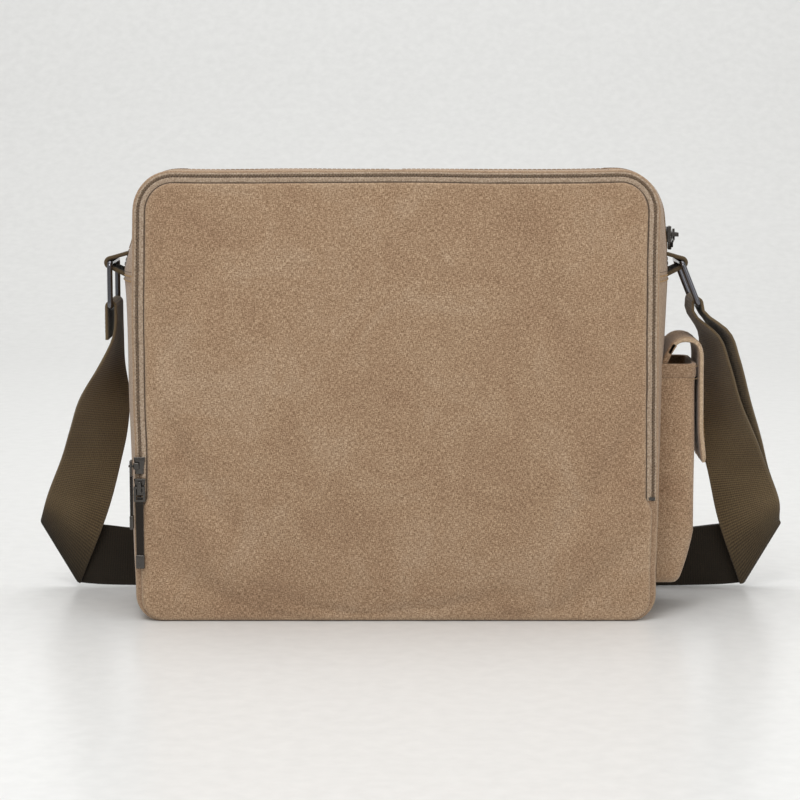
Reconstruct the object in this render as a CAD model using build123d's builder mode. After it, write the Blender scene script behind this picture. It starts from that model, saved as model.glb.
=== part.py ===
from build123d import *
from math import cos, radians, sin
import os

os.makedirs("parts", exist_ok=True)

# A canvas messenger bag, in millimetres. The origin is at the centre of its base, +Z is up, and
# the front faces -Y. It has a front compartment behind a zipped cover, a main compartment with
# a zipped mouth along the top, a phone pocket on its right side and one webbing strap.

# ---- driving dimensions ----
body_width = 337.0  # outside of the gusset at its front and back edges
body_height = 288.0  # outside of the gusset at its front and back edges
gusset_depth = 91.0  # from the gusset's front edge to its back edge
top_radius = 26.0
bottom_radius = 17.0
fabric = 2.4  # canvas, foam and lining together
lining_cloth = 0.6
running_gap = 0.4  # between pieces that move past each other
sewn_gap = 0.3  # between soft layers that lie side by side
lining_room = 1.4  # between the gusset and what is sewn inside it

side_bulge = 10.5  # how far a side gusset stands out at mid depth, where the rings hang
low_bulge = 4.0  # the same at the foot of the side
top_bulge = 5.0  # the same along the top

cover_foot = 79.0  # height of the fold that the front cover opens about
panel_inset = 7.5  # from the gusset's edge to the front cover's edge
zip_inset = 2.5  # from the gusset's edge to the line where the zip's teeth meet
front_stand = 5.5  # how far the front panel's face stands ahead of the gusset's front edge
tape_width = 9.0
tape_thickness = 0.6
coil_width = 1.4
coil_thickness = 1.6
coil_parting = 1.0  # between the two coils, where the slider's post runs
piping_stand = 1.2  # how far the piping stands out from the gusset's edge
piping_tuck = 0.5  # how far it reaches in from there

front_pocket_depth = 12.0  # front compartment, from the cover to the partition
partition_thickness = 3.0
organiser_thickness = 1.2
organiser_height = 150.0
sleeve_depth = 16.0  # laptop sleeve, between the divider and the back panel
divider_thickness = 5.0
divider_drop = 63.0  # from the top of the bag to the divider's top edge
board_thickness = 1.6
board_margin = 6.0

mouth_end = 31.5  # from the bag's side to the end of the top that opens
seam_drop = 62.0  # from the top down to where the side panels meet the zipped top gusset
zip_chain_width = 14.0
end_gap = 0.1  # between the gusset, the closed zip's tape on it, and its coil
end_coil_thickness = 1.1

strap_width = 40.0
strap_thickness = 2.0
wire = 3.6  # the rings' wire diameter
ring_length = 28.6  # between the middles of a ring's two bars
ring_side_gap = 0.8  # between the strap's edge and the ring's sides
ring_drop = 56.5  # from the top of the bag to the bar that the tab holds
tab_spread = 3.0  # how far each leg of a tab spreads towards the bag
ring_stand = 7.5  # from the side gusset's crown to that bar
right_ring_tilt = 22.0
sewn_end_length = 22.0
turn_length = 9.0  # of the strap's legs below the right ring

pocket_width = 54.0
pocket_stand = 17.0  # how far the phone pocket stands out from the side gusset's crown
pocket_wall = 1.8
pocket_foot = 20.0
pocket_drop = 122.0  # from the top of the bag to the pocket's mouth
pocket_taper = 35.0  # height of the pocket's tapered foot
pocket_taper_depth = 9.0
binding_height = 9.0
binding_thickness = 1.2
flap_width = 48.0
flap_thickness = 3.6
flap_root_drop = 112.0
flap_length = 76.0  # from its root to its tip, in height
flap_rise = 5.0
flap_stand = 2.4  # from the pocket's outer face to the flap's inner face
patch_thickness = 1.0
patch_height = 26.0

slider_width = 7.6
slider_length = 11.0
plate = 1.3
post_width = 0.6
lower_slider_rise = 9.5  # from the cover's fold to the slider's middle
upper_slider_rise = 23.5
main_slider_drop = 39.0
stop_length = 2.0
slider_play = 0.2
bridge_gap = 4.0
bridge_wall = 1.0
lug_height = 3.2  # the side lug that holds the upper pull's pin
main_slider_lift = 0.6
lower_tongue_length = 35.0
upper_tongue_length = 26.0
main_tongue_length = 14.0
pull_width = 6.0
pull_thickness = 1.8
link_length = 10.0
link_wire = 1.4
tip_length = 9.0
tip_thickness = 2.4
pin_radius = 0.9
pin_play = 0.1

adjuster_bar = 2.4
adjuster_length = 26.0
run_behind = 13.0  # from the back panel to the strap that lies behind the bag
fold_room = 8.0  # that the fold line stands above the strap's width
run_easing = 60.0  # length over which a run rises to the adjuster
run_lift = 0.1  # of the rest of a run that rises
left_fold_reach = 46.5  # from the left ring's bar out to the middle of the fold at the floor
right_fold_reach = 56.0  # the same from the phone pocket's face, on the right
fold_lean = 14.0  # how far the fold line leans out from its middle at the strap's top edge

# Sections of the strap's drops, from the top: how far out, share of the way back to the run
# behind the bag, share of the height above the fold, and the ways across and along.
left_drop = (
    (8.5, 0.20, 0.69, (-0.75, -0.66, 0), (0, 0, -1)),
    (20.5, 0.64, 0.35, (-1, -0.2, 0), (0, 0, -1)),
)
right_inner_drop = (
    (12.0, 0.08, 0.93, (0.25, -0.97, 0), (0.4, 0, -1)),
    (18.0, 0.23, 0.80, (0.5, -0.86, 0), (0.3, 0, -1)),
    (23.0, 0.40, 0.59, (0.75, -0.66, 0), (0, 0, -1)),
    (39.0, 0.77, 0.25, (1, -0.15, 0), (0.2, 0, -1)),
)
right_outer_drop = (
    (17.0, 0.08, 0.94, (0.25, -0.97, 0), (0.4, 0, -1)),
    (26.0, 0.23, 0.81, (0.5, -0.86, 0), (0.3, 0, -1)),
    (34.0, 0.49, 0.59, (0.75, -0.66, 0), (0, 0, -1)),
    (44.0, 0.85, 0.25, (1, -0.15, 0), (0.2, 0, -1)),
)

# ---- what follows from them ----
half_width = body_width / 2
mouth_half_length = half_width - mouth_end
side_seam_height = body_height - seam_drop
ring_height = body_height - ring_drop
divider_height = body_height - divider_drop
pocket_mouth = body_height - pocket_drop
flap_root_height = body_height - flap_root_drop
flap_tip_height = flap_root_height - flap_length
lower_slider_height = cover_foot + lower_slider_rise
upper_slider_height = cover_foot + upper_slider_rise
main_slider_height = body_height - main_slider_drop
half_depth = gusset_depth / 2
front_face = -half_depth - front_stand
panel_back = front_face + fabric
back_face = half_depth + fabric
tape_front = panel_back + 0.1
tape_back = tape_front + tape_thickness
coil_front = (tape_front + tape_back - coil_thickness) / 2
coil_back = coil_front + coil_thickness
teeth_half = half_width - zip_inset
end_tape_top = end_gap + tape_thickness
end_coil_top = end_tape_top + end_gap + end_coil_thickness
partition_front = panel_back + front_pocket_depth
partition_back = partition_front + partition_thickness
sleeve_front = half_depth - sleeve_depth
divider_front = sleeve_front - divider_thickness
half_strap = strap_width / 2
half_ring = half_strap + ring_side_gap + wire / 2
ring_x = half_width + side_bulge + ring_stand
turn_radius = wire / 2 + running_gap / 2 + strap_thickness / 2
tab_rise = turn_radius + strap_thickness / 2 + tab_spread
run_front = back_face + run_behind
pocket_face = half_width + side_bulge + pocket_stand
flap_middle = pocket_face + flap_stand + flap_thickness / 2


def bulge_at(height):
    """How far the side gusset stands out at mid depth, at a height."""
    if height < side_seam_height:
        share = height / side_seam_height
        return low_bulge + (side_bulge - low_bulge) * share
    share = (height - side_seam_height) / (body_height - side_seam_height)
    return side_bulge + (top_bulge - side_bulge) * share


def side_station(side, height):
    """A plane across the side gusset at a height, facing out, and the bulge there."""
    plane = Plane(origin=(side * half_width, 0, height), x_dir=(side, 0, 0), z_dir=(0, 0, 1))
    return plane, bulge_at(height)


def corner_station(side, turn):
    """A plane across the gusset in a top corner, turned from the side towards the top."""
    angle = radians(turn)
    centre_x = half_width - top_radius
    centre_z = body_height - top_radius
    place = (side * (centre_x + top_radius * cos(angle)), 0, centre_z + top_radius * sin(angle))
    out = (side * cos(angle), 0, sin(angle))
    along = (-side * sin(angle), 0, cos(angle))
    share = turn / 90
    bulge = bulge_at(centre_z) * (1 - share) + top_bulge * share
    return Plane(origin=place, x_dir=out, z_dir=along), bulge


def top_station(side, x):
    """A plane across the top gusset at a distance from the middle."""
    plane = Plane(origin=(side * x, 0, body_height), x_dir=(0, 0, 1), z_dir=(-side, 0, 0))
    return plane, top_bulge


def gusset_through(stations):
    """One gusset panel: a wall of fabric, bowed out between its two seams."""
    with BuildPart() as wall:
        for plane, bulge in stations:
            with BuildSketch(plane):
                with BuildLine():
                    ThreePointArc((0, -half_depth), (bulge, 0), (0, half_depth))
                    Line((0, half_depth), (-fabric, half_depth))
                    ThreePointArc((-fabric, half_depth), (bulge - fabric, 0), (-fabric, -half_depth))
                    Line((-fabric, -half_depth), (0, -half_depth))
                make_face()
        loft()
    return wall


def strip_over(stations, width, low, high):
    """A strip along the middle of the gusset, between two heights above its crown."""
    with BuildPart() as strip:
        for plane, bulge in stations:
            with BuildSketch(plane):
                with Locations((bulge + (low + high) / 2, 0)):
                    Rectangle(high - low, width)
        loft()
    return strip


def front_plane(y):
    """A sketch plane across the bag at a depth: its x is the bag's X and its y is height."""
    return Plane.XZ.offset(-y)


def outline(inset, foot, rounded_foot=False):
    """The bag's front outline, moved in by an inset, from a height up."""
    top = body_height - inset
    with BuildSketch(Plane.XY, mode=Mode.PRIVATE) as shape:
        with Locations((0, (foot + top) / 2)):
            Rectangle(2 * (half_width - inset), top - foot)
        fillet(shape.vertices().group_by(Axis.Y)[-1], radius=max(top_radius - inset, 2))
        if rounded_foot:
            fillet(shape.vertices().group_by(Axis.Y)[0], radius=max(bottom_radius - inset, 2))
    return shape.sketch


def plate_of(front, back, shape, hole=None):
    """A plate, or a band round a hole, between two depths."""
    with BuildPart() as body:
        with BuildSketch(front_plane(back)):
            add(shape)
            if hole is not None:
                add(hole, mode=Mode.SUBTRACT)
        extrude(amount=back - front)
    return body


def block(low, high):
    """A box between two corners."""
    with BuildPart() as body:
        with Locations(tuple((a + b) / 2 for a, b in zip(low, high))):
            Box(*[b - a for a, b in zip(low, high)])
    return body


def webbing_through(sections):
    """Webbing through sections, each a middle, a direction across, one along, and a width."""
    with BuildPart() as strip:
        for middle, across, along, width in sections:
            with BuildSketch(Plane(origin=middle, x_dir=across, z_dir=along)):
                Rectangle(width, strap_thickness)
        loft(ruled=True)
    return strip


def save(body, name):
    """Labels a finished piece and writes it."""
    body.part.label = name
    export_step(body.part, f"parts/{name}.step")


# ---- gussets: sides, base and the two zipped top corners ----
side_walls = {}
for side, hand in ((-1, "left"), (1, "right")):
    heights = (bottom_radius, (bottom_radius + side_seam_height) / 2, side_seam_height)
    side_walls[hand] = gusset_through([side_station(side, z) for z in heights])
    save(side_walls[hand], f"side_gusset_{hand}")

    corner = [side_station(side, body_height - top_radius)]
    corner += [corner_station(side, turn) for turn in (30, 60, 90)]
    corner.append(top_station(side, mouth_half_length + running_gap))
    foot = side_station(side, side_seam_height + sewn_gap)
    save(gusset_through([foot] + corner), f"corner_gusset_{hand}")
    zip_foot = side_station(side, ring_height + tab_rise + sewn_gap)
    path = [zip_foot] + corner
    save(strip_over(path, zip_chain_width, end_gap, end_tape_top), f"main_zip_end_tape_{hand}")
    end_coil = strip_over(path, 2 * coil_width, end_tape_top + end_gap, end_coil_top)
    save(end_coil, f"main_zip_end_coil_{hand}")

whole_outline = outline(0, 0, True)
base_gusset = plate_of(-half_depth, half_depth, whole_outline, outline(fabric, fabric, True))
with base_gusset:
    split(bisect_by=Plane.XY.offset(bottom_radius - sewn_gap), keep=Keep.BOTTOM)
save(base_gusset, "base_gusset")

# ---- panels: back, front foot, and the piping round them ----
save(plate_of(half_depth, back_face, whole_outline), "back_panel")
piping_outside = outline(-piping_stand, 0, True)
piping_inside = outline(piping_tuck, piping_tuck, True)
save(plate_of(tape_front, -half_depth, piping_outside, piping_inside), "front_edge_piping")
back_piping_end = back_face + 2 * piping_stand
save(plate_of(back_face, back_piping_end, piping_outside, piping_inside), "back_edge_piping")

foot_outline = outline(zip_inset, piping_tuck, True)
front_foot_panel = plate_of(front_face, panel_back, foot_outline)
with front_foot_panel:
    split(bisect_by=Plane.XY.offset(cover_foot - running_gap), keep=Keep.BOTTOM)
save(front_foot_panel, "front_foot_panel")
front_foot_lining = plate_of(tape_front, tape_back, foot_outline)
with front_foot_lining:
    split(bisect_by=Plane.XY.offset(cover_foot - running_gap), keep=Keep.BOTTOM)
save(front_foot_lining, "front_foot_lining")

# ---- front cover and its zip: a U from one end of the fold, over the top, to the other ----
half_parting = coil_parting / 2
cover_edge = zip_inset + half_parting
bag_edge = zip_inset - half_parting
tape_edge = cover_edge + coil_width + tape_width
zip_low = cover_foot + running_gap
save(plate_of(front_face, panel_back, outline(panel_inset, cover_foot)), "front_cover_panel")
save(
    plate_of(tape_front, tape_back, outline(tape_edge + sewn_gap, cover_foot)),
    "front_cover_lining",
)
save(
    plate_of(
        tape_front, tape_back, outline(cover_edge + coil_width, zip_low), outline(tape_edge, 0)
    ),
    "front_zip_cover_tape",
)
save(
    plate_of(
        coil_front, coil_back, outline(cover_edge, zip_low), outline(cover_edge + coil_width, 0)
    ),
    "front_zip_cover_coil",
)
save(
    plate_of(
        coil_front, coil_back, outline(bag_edge - coil_width, zip_low), outline(bag_edge, 0)
    ),
    "front_zip_bag_coil",
)

# ---- inside: partition, organiser pockets, lining, base board and laptop divider ----
inner_inset = fabric + lining_room
inner_outline = outline(inner_inset, inner_inset, True)
save(plate_of(partition_front, partition_back, inner_outline), "front_partition")

pocket_back = partition_front - sewn_gap
pocket_front = pocket_back - organiser_thickness
half_inner = half_width - bottom_radius - fabric
save(
    block((-half_inner, pocket_front, bottom_radius), (half_inner / 3, pocket_back, organiser_height)),
    "organiser_pocket",
)
with BuildPart() as pen_sleeves:
    pen_pitch = half_inner / 6
    for number in range(3):
        low_x = half_inner / 3 + pen_pitch * (number + 0.5)
        with Locations((low_x, (pocket_front + pocket_back) / 2, organiser_height * 0.6)):
            Box(pen_pitch * 0.8, organiser_thickness, organiser_height * 0.8)
save(pen_sleeves, "pen_sleeves")

lined_inset = inner_inset + lining_cloth
main_lining = plate_of(
    partition_back + sewn_gap,
    half_depth - sewn_gap,
    inner_outline,
    outline(lined_inset, lined_inset, True),
)
with main_lining:
    split(bisect_by=Plane.XY.offset(side_seam_height - sewn_gap), keep=Keep.BOTTOM)
save(main_lining, "main_lining")
board_low = lined_inset + sewn_gap
board_half = half_width - bottom_radius - board_margin
save(
    block(
        (-board_half, partition_back + 1, board_low),
        (board_half, half_depth - 1, board_low + board_thickness),
    ),
    "base_board",
)
divider_low = board_low + board_thickness + sewn_gap
save(
    block((-board_half, divider_front, divider_low), (board_half, sleeve_front, divider_height)),
    "laptop_divider",
)

# ---- the mouth: two halves of the top gusset, each with its half of the main zip ----
mouth_edge = half_depth - 1.0
for side, hand in ((-1, "front"), (1, "rear")):
    with BuildPart() as strip:
        with BuildSketch(Plane.YZ.offset(-mouth_half_length)):
            with BuildLine():
                rise = top_bulge * 0.75
                Spline(
                    (side * mouth_edge, body_height),
                    (side * mouth_edge / 2, body_height + rise),
                    (side * (coil_width + half_parting + 0.2), body_height + top_bulge),
                )
                Line(
                    (side * (coil_width + half_parting + 0.2), body_height + top_bulge),
                    (side * (coil_width + half_parting + 0.2), body_height + top_bulge - fabric),
                )
                Spline(
                    (side * (coil_width + half_parting + 0.2), body_height + top_bulge - fabric),
                    (side * mouth_edge / 2, body_height + rise - fabric),
                    (side * mouth_edge, body_height - fabric),
                )
                Line((side * mouth_edge, body_height - fabric), (side * mouth_edge, body_height))
            make_face()
        extrude(amount=2 * mouth_half_length)
    save(strip, f"mouth_strip_{hand}")
    coil_low = body_height + top_bulge - fabric / 2
    near = side * half_parting
    far = side * (half_parting + coil_width)
    save(
        block(
            (-mouth_half_length, min(near, far), coil_low),
            (mouth_half_length, max(near, far), coil_low + coil_thickness),
        ),
        f"main_zip_coil_{hand}",
    )

# ---- sliders ----
def front_slider(height, swivel):
    """A slider on the left run of the front zip, with a bridge or a side pin for its pull."""
    middle = -teeth_half
    front = coil_front - slider_play
    back = coil_back + slider_play
    with BuildPart() as slider:
        with Locations((middle, front - plate / 2, height)):
            Box(slider_width, plate, slider_length)
            fillet(slider.edges().filter_by(Axis.Y), radius=1.5)
        back_low = middle - zip_inset + piping_tuck + slider_play
        back_high = middle + slider_width / 2
        with Locations(((back_low + back_high) / 2, back + plate / 2, height)):
            Box(back_high - back_low, plate, slider_length * 0.8)
        with Locations((middle, (front + back) / 2, height + slider_length * 0.3)):
            Box(post_width, back - front, 2.5)
        if swivel:
            pin_end = middle - slider_width / 2 - link_wire - 1.6
            with Locations((middle - slider_width / 4, front - plate - lug_height / 2, height)):
                Box(slider_width / 2, lug_height, 4)
            with BuildSketch(Plane.YZ.offset(pin_end)):
                with Locations((front - plate - lug_height / 2, height)):
                    Circle(pin_radius)
            extrude(amount=middle - slider_width / 2 - pin_end)
        else:
            for step in (-1, 1):
                foot_y = front - plate - bridge_gap / 2
                with Locations((middle, foot_y, height + step * 3)):
                    Box(2.4, bridge_gap, bridge_wall)
            with Locations((middle, front - plate - bridge_gap - bridge_wall / 2, height)):
                Box(2.4, bridge_wall, 7)
    return slider


slider_front = coil_front - slider_play - plate
save(front_slider(lower_slider_height, False), "front_slider_lower")
save(front_slider(upper_slider_height, True), "front_slider_upper")

main_face = half_width + bulge_at(main_slider_height) + main_slider_lift
with BuildPart() as main_slider:
    plate_low = main_face + end_coil_top + slider_play
    with Locations((plate_low + plate / 2, 0, main_slider_height)):
        Box(plate, slider_width, slider_length)
        fillet(main_slider.edges().filter_by(Axis.X), radius=1.5)
    for step in (-1, 1):
        flange_in = coil_width + slider_play
        flange_y = step * (flange_in + slider_width / 2) / 2
        with Locations((plate_low - 0.6, flange_y, main_slider_height)):
            Box(1.2, slider_width / 2 - flange_in, slider_length)
        with Locations((plate_low + plate + bridge_gap / 2, step * 3, main_slider_height)):
            Box(bridge_gap, bridge_wall, 2.4)
    with Locations((plate_low + plate + bridge_gap + bridge_wall / 2, 0, main_slider_height)):
        Box(bridge_wall, 7, 2.4)
save(main_slider, "main_slider")

with BuildPart() as zip_stops:
    stop_y = (coil_front + coil_back) / 2
    for side in (-1, 1):
        with Locations((side * teeth_half, coil_front - 0.6, zip_low + sewn_gap + stop_length / 2)):
            Box(2 * coil_width + coil_parting, 1.0, stop_length)
save(zip_stops, "front_zip_stops")


def pull_on(plane, name, swivel, tongue):
    """A pull hanging along -y of a plane from its origin: link, fabric tongue and metal tip."""
    link_half = pull_width / 2 + link_wire / 2
    with BuildPart() as link:
        with BuildSketch(plane.offset(-link_wire / 2)):
            if swivel:
                with Locations((0, -link_length / 2 + link_half)):
                    Rectangle(2 * link_half, link_length)
                Circle(pin_radius + pin_play, mode=Mode.SUBTRACT)
            else:
                with Locations((0, -link_length / 2 + link_wire / 2)):
                    Rectangle(2 * link_half, link_length)
                    Rectangle(pull_width - link_wire, link_length - 2 * link_wire, mode=Mode.SUBTRACT)
        extrude(amount=link_wire)
    save(link, f"{name}_link")
    start = -link_length + (link_half if swivel else link_wire / 2)
    with BuildPart() as strap:
        with BuildSketch(plane.offset(-pull_thickness / 2)):
            with Locations((0, start - tongue / 2)):
                Rectangle(pull_width, tongue)
        extrude(amount=pull_thickness)
    save(strap, f"{name}_tongue")
    with BuildPart() as tip:
        with BuildSketch(plane.offset(-tip_thickness / 2)) as tip_shape:
            with Locations((0, start - tongue - tip_length / 2)):
                Rectangle(pull_width + 0.6, tip_length)
            fillet(tip_shape.vertices().group_by(Axis.Y)[0], radius=1.2)
        extrude(amount=tip_thickness)
    save(tip, f"{name}_tip")


lower_pivot = (-teeth_half, slider_front - bridge_gap / 2, lower_slider_height)
lower_plane = Plane(origin=lower_pivot, x_dir=(1, 0, 0), z_dir=(0, -1, 0))
pull_on(lower_plane, "lower_pull", False, lower_tongue_length)
upper_x = -teeth_half - slider_width / 2 - tip_thickness / 2 - slider_play
upper_pivot = (upper_x, slider_front - lug_height / 2, upper_slider_height)
upper_plane = Plane(origin=upper_pivot, x_dir=(0, -1, 0), z_dir=(-1, 0, 0))
pull_on(upper_plane, "upper_pull", True, upper_tongue_length)
droop = radians(16)
main_pivot = (plate_low + plate + bridge_gap / 2, 0, main_slider_height)
across = (0, sin(droop), cos(droop))
main_plane = Plane(origin=main_pivot, x_dir=across, z_dir=(1, 0, 0))
pull_on(main_plane, "main_pull", False, main_tongue_length)

# ---- tabs, rings and the strap's ends on them ----
def loop_path(leg, radius, spread=0.0):
    """A U of two legs and an arc, opening along -x, with its arc about the origin."""
    with BuildLine(mode=Mode.PRIVATE) as path:
        Line((-leg, radius + spread), (0, radius))
        ThreePointArc((0, radius), (radius, 0), (0, -radius))
        Line((0, -radius), (-leg, -radius - spread))
    return path.line


bar_radius = wire / 2
lean = {"left": 0.0, "right": radians(right_ring_tilt)}
foot_bar = {}
for side, hand in ((-1, "left"), (1, "right")):
    sheet = Plane(origin=(side * ring_x, 0, ring_height), x_dir=(side, 0, 0), z_dir=(0, -1, 0))
    with BuildPart() as tab:
        with BuildSketch(sheet.offset(-half_strap + 1)):
            add(loop_path(ring_stand - 0.6, turn_radius, tab_spread))
            trace(line_width=strap_thickness)
        extrude(amount=strap_width - 2)
    save(tab, f"tab_{hand}")

    reach = ring_length * sin(lean[hand])
    drop = ring_length * cos(lean[hand])
    foot_bar[hand] = (side * (ring_x + reach), 0, ring_height - drop)
    ring_plane = Plane(
        origin=(side * ring_x, 0, ring_height),
        x_dir=(0, side, 0),
        z_dir=(side * cos(lean[hand]), 0, sin(lean[hand])),
    )
    with BuildPart() as ring:
        with BuildSketch(ring_plane, mode=Mode.PRIVATE) as ring_shape:
            with Locations((0, -ring_length / 2)):
                RectangleRounded(2 * half_ring, ring_length, 3.0)
        path = ring_shape.sketch.wire()
        with BuildSketch(Plane(origin=path @ 0, z_dir=path % 0)):
            Circle(bar_radius)
        sweep(path=path)
    save(ring, f"ring_{hand}")

    leg = sewn_end_length if hand == "left" else turn_length
    hang = Plane(origin=foot_bar[hand], x_dir=(0, 0, 1), z_dir=(0, -1, 0))
    with BuildPart() as strap_end:
        with BuildSketch(hang.offset(-half_strap)):
            add(loop_path(leg, turn_radius))
            trace(line_width=strap_thickness)
        extrude(amount=strap_width)
    save(strap_end, "strap_sewn_end" if hand == "left" else "strap_ring_turn")

# ---- the strap: a drop from each ring, a fold at the floor, and a run behind the bag ----
half_layer = strap_thickness / 2
layer = strap_thickness + sewn_gap
fold_height = strap_width + fold_room
fold_middle = fold_height / 2 + 1
fold_across = Vector(2 * fold_lean, 0, fold_height).normalized()
left_across = Vector(-2 * fold_lean, 0, fold_height).normalized()
fold_width = (4 * fold_lean**2 + fold_height**2) ** 0.5 - 2
left_bar = foot_bar["left"]
right_bar = foot_bar["right"]
behind = run_front - half_layer - sewn_gap
left_fold = left_bar[0] - left_fold_reach
right_fold = pocket_face + right_fold_reach


def drop_through(top, table, side, start_x, last):
    """Sections of a drop from its top, through a table's, to its last one in the fold."""
    sections = [(top, (0, -1, 0), (0, 0, -1), strap_width)]
    for out, back, up, across, along in table:
        height = fold_height + (top[2] - fold_height) * up
        middle = (start_x + side * out, behind * back, height)
        sections.append((middle, across, along, strap_width))
    return webbing_through(sections + [last])


left_top = (left_bar[0] + half_layer, 0, left_bar[2] - sewn_end_length - sewn_gap)
left_last = ((left_fold, behind, fold_middle), left_across, (0, 1, 0), fold_width)
save(drop_through(left_top, left_drop, -1, left_bar[0], left_last), "strap_drop_left")
right_top = (right_bar[0] - turn_radius + half_layer, 0, right_bar[2] - turn_length - sewn_gap)
inner_last = ((right_fold, behind - layer, fold_middle), fold_across, (0, 1, 0), fold_width)
save(
    drop_through(right_top, right_inner_drop, 1, pocket_face, inner_last),
    "strap_drop_right_inner",
)
outer_top = (right_bar[0] + turn_radius - half_layer, 0, right_top[2])
outer_last = ((right_fold + strap_thickness, behind, fold_middle), fold_across, (0, 1, 0), fold_width)
save(
    drop_through(outer_top, right_outer_drop, 1, pocket_face, outer_last),
    "strap_drop_right_outer",
)

adjuster_height = strap_width + 2 * (adjuster_bar + ring_side_gap)
adjuster_lift = adjuster_bar + ring_side_gap


def run_of(front, start, end, lift_at_start, lift_at_end, name):
    """A run of webbing on its edge behind the bag, between two places along X."""
    points = [(start, lift_at_start)]
    if lift_at_start > run_lift:
        points.append((start + run_easing, run_lift))
    if lift_at_end > run_lift:
        points.append((end - run_easing, run_lift))
    points.append((end, lift_at_end))
    with BuildPart() as run:
        with BuildSketch(front_plane(front + strap_thickness)):
            with BuildLine():
                top_points = [(x, z + strap_width) for x, z in reversed(points)]
                Polyline(points + top_points, close=True)
            make_face()
        extrude(amount=strap_thickness)
    save(run, name)


half_adjuster = adjuster_length / 2
run_of(run_front, left_fold, -half_adjuster, 0.0, adjuster_lift, "strap_run_left")
run_of(run_front, half_adjuster, right_fold, adjuster_lift, 0.0, "strap_run_right_inner")
run_of(run_front + layer, half_adjuster, right_fold, adjuster_lift, 0.0, "strap_run_right_outer")
with BuildPart() as adjuster:
    with BuildSketch(front_plane(run_front + strap_thickness + adjuster_bar / 2)) as frame_shape:
        with Locations((0, adjuster_height / 2)):
            Rectangle(adjuster_length - 2 * running_gap, adjuster_height)
            fillet(frame_shape.vertices(), radius=2.0)
            Rectangle(
                adjuster_length - 2 * running_gap - 2 * adjuster_bar,
                adjuster_height - 2 * adjuster_bar,
                mode=Mode.SUBTRACT,
            )
            Rectangle(adjuster_bar, adjuster_height - adjuster_bar)
    extrude(amount=adjuster_bar)
save(adjuster, "strap_adjuster")

# ---- phone pocket on the right side, with its flap ----
pocket_root = half_width - fabric
with BuildPart() as pocket:
    for wall, mode in ((0, Mode.ADD), (pocket_wall, Mode.SUBTRACT)):
        reach = pocket_width / 2 - wall
        with BuildSketch(Plane.XZ.offset(-reach)):
            with BuildLine():
                Polyline(
                    (pocket_root, pocket_foot + wall),
                    (pocket_face - pocket_taper_depth - wall, pocket_foot + wall),
                    (pocket_face - wall, pocket_foot + pocket_taper),
                    (pocket_face - wall, pocket_mouth + wall),
                    (pocket_root, pocket_mouth + wall),
                    close=True,
                )
            make_face()
        extrude(amount=2 * reach, mode=mode)
    split(bisect_by=Plane.XY.offset(pocket_mouth), keep=Keep.BOTTOM)
    with BuildSketch(Plane.XY):
        with BuildLine():
            gusset_crown = (half_width + side_bulge, 0)
            ThreePointArc((half_width, -half_depth), gusset_crown, (half_width, half_depth))
            Polyline(
                (half_width, half_depth), (0, half_depth), (0, -half_depth), (half_width, -half_depth)
            )
        make_face()
    extrude(amount=body_height, mode=Mode.SUBTRACT)
save(pocket, "phone_pocket")

binding_reach = pocket_width / 2 + sewn_gap + binding_thickness
binding_face = pocket_face + sewn_gap + binding_thickness
binding_root = half_width + side_bulge
with BuildPart() as binding:
    with BuildSketch(Plane.XY.offset(pocket_mouth - binding_height)):
        with Locations(((binding_root + binding_face) / 2, 0)):
            Rectangle(binding_face - binding_root, 2 * binding_reach)
        with Locations(((binding_root + binding_face - binding_thickness) / 2, 0)):
            Rectangle(
                binding_face - binding_thickness - binding_root,
                2 * (binding_reach - binding_thickness),
                mode=Mode.SUBTRACT,
            )
    extrude(amount=binding_height)
save(binding, "phone_pocket_binding")

flap_root = half_width + side_bulge + 2.5
with BuildPart() as flap:
    with BuildSketch(Plane.XZ.offset(-flap_width / 2)):
        with BuildLine():
            FilletPolyline(
                (flap_root, flap_root_height),
                (flap_root + flap_rise, flap_root_height + flap_rise),
                (flap_middle - 1, flap_root_height + flap_rise - 1),
                (flap_middle, (flap_root_height + flap_tip_height) / 2),
                (flap_middle + 2.5, flap_tip_height),
                radius=(3.0, 6.0, 40.0),
            )
        trace(line_width=flap_thickness)
    extrude(amount=flap_width)
save(flap, "pocket_flap")

anchor_back = half_width + side_bulge * 0.7
anchor_face = flap_root - flap_thickness / 2
with BuildPart() as anchor:
    with BuildSketch(Plane.XY.offset(flap_root_height - 5)):
        with Locations(((anchor_back + anchor_face) / 2, 0)):
            Rectangle(anchor_face - anchor_back, flap_width)
    extrude(amount=8)
    add(side_walls["right"].part, mode=Mode.SUBTRACT)
save(anchor, "pocket_flap_seam")

patch_low = flap_tip_height + 6
patch_x = pocket_face + 0.05
save(
    block(
        (patch_x, -flap_width / 3, patch_low),
        (patch_x + patch_thickness, flap_width / 3, patch_low + patch_height),
    ),
    "pocket_loop_patch",
)
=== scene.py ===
"""A canvas messenger bag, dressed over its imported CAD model.

Lengths in the code are millimetres until a mesh is made, and every mesh is made in metres.
The bag's front faces -Y, +Z is up, and the origin is at the centre of its base.
"""

import logging
import math
from dataclasses import dataclass, field
from enum import Enum
from typing import Callable, Optional, Sequence

import bpy
import numpy as np
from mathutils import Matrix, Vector, noise


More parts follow.
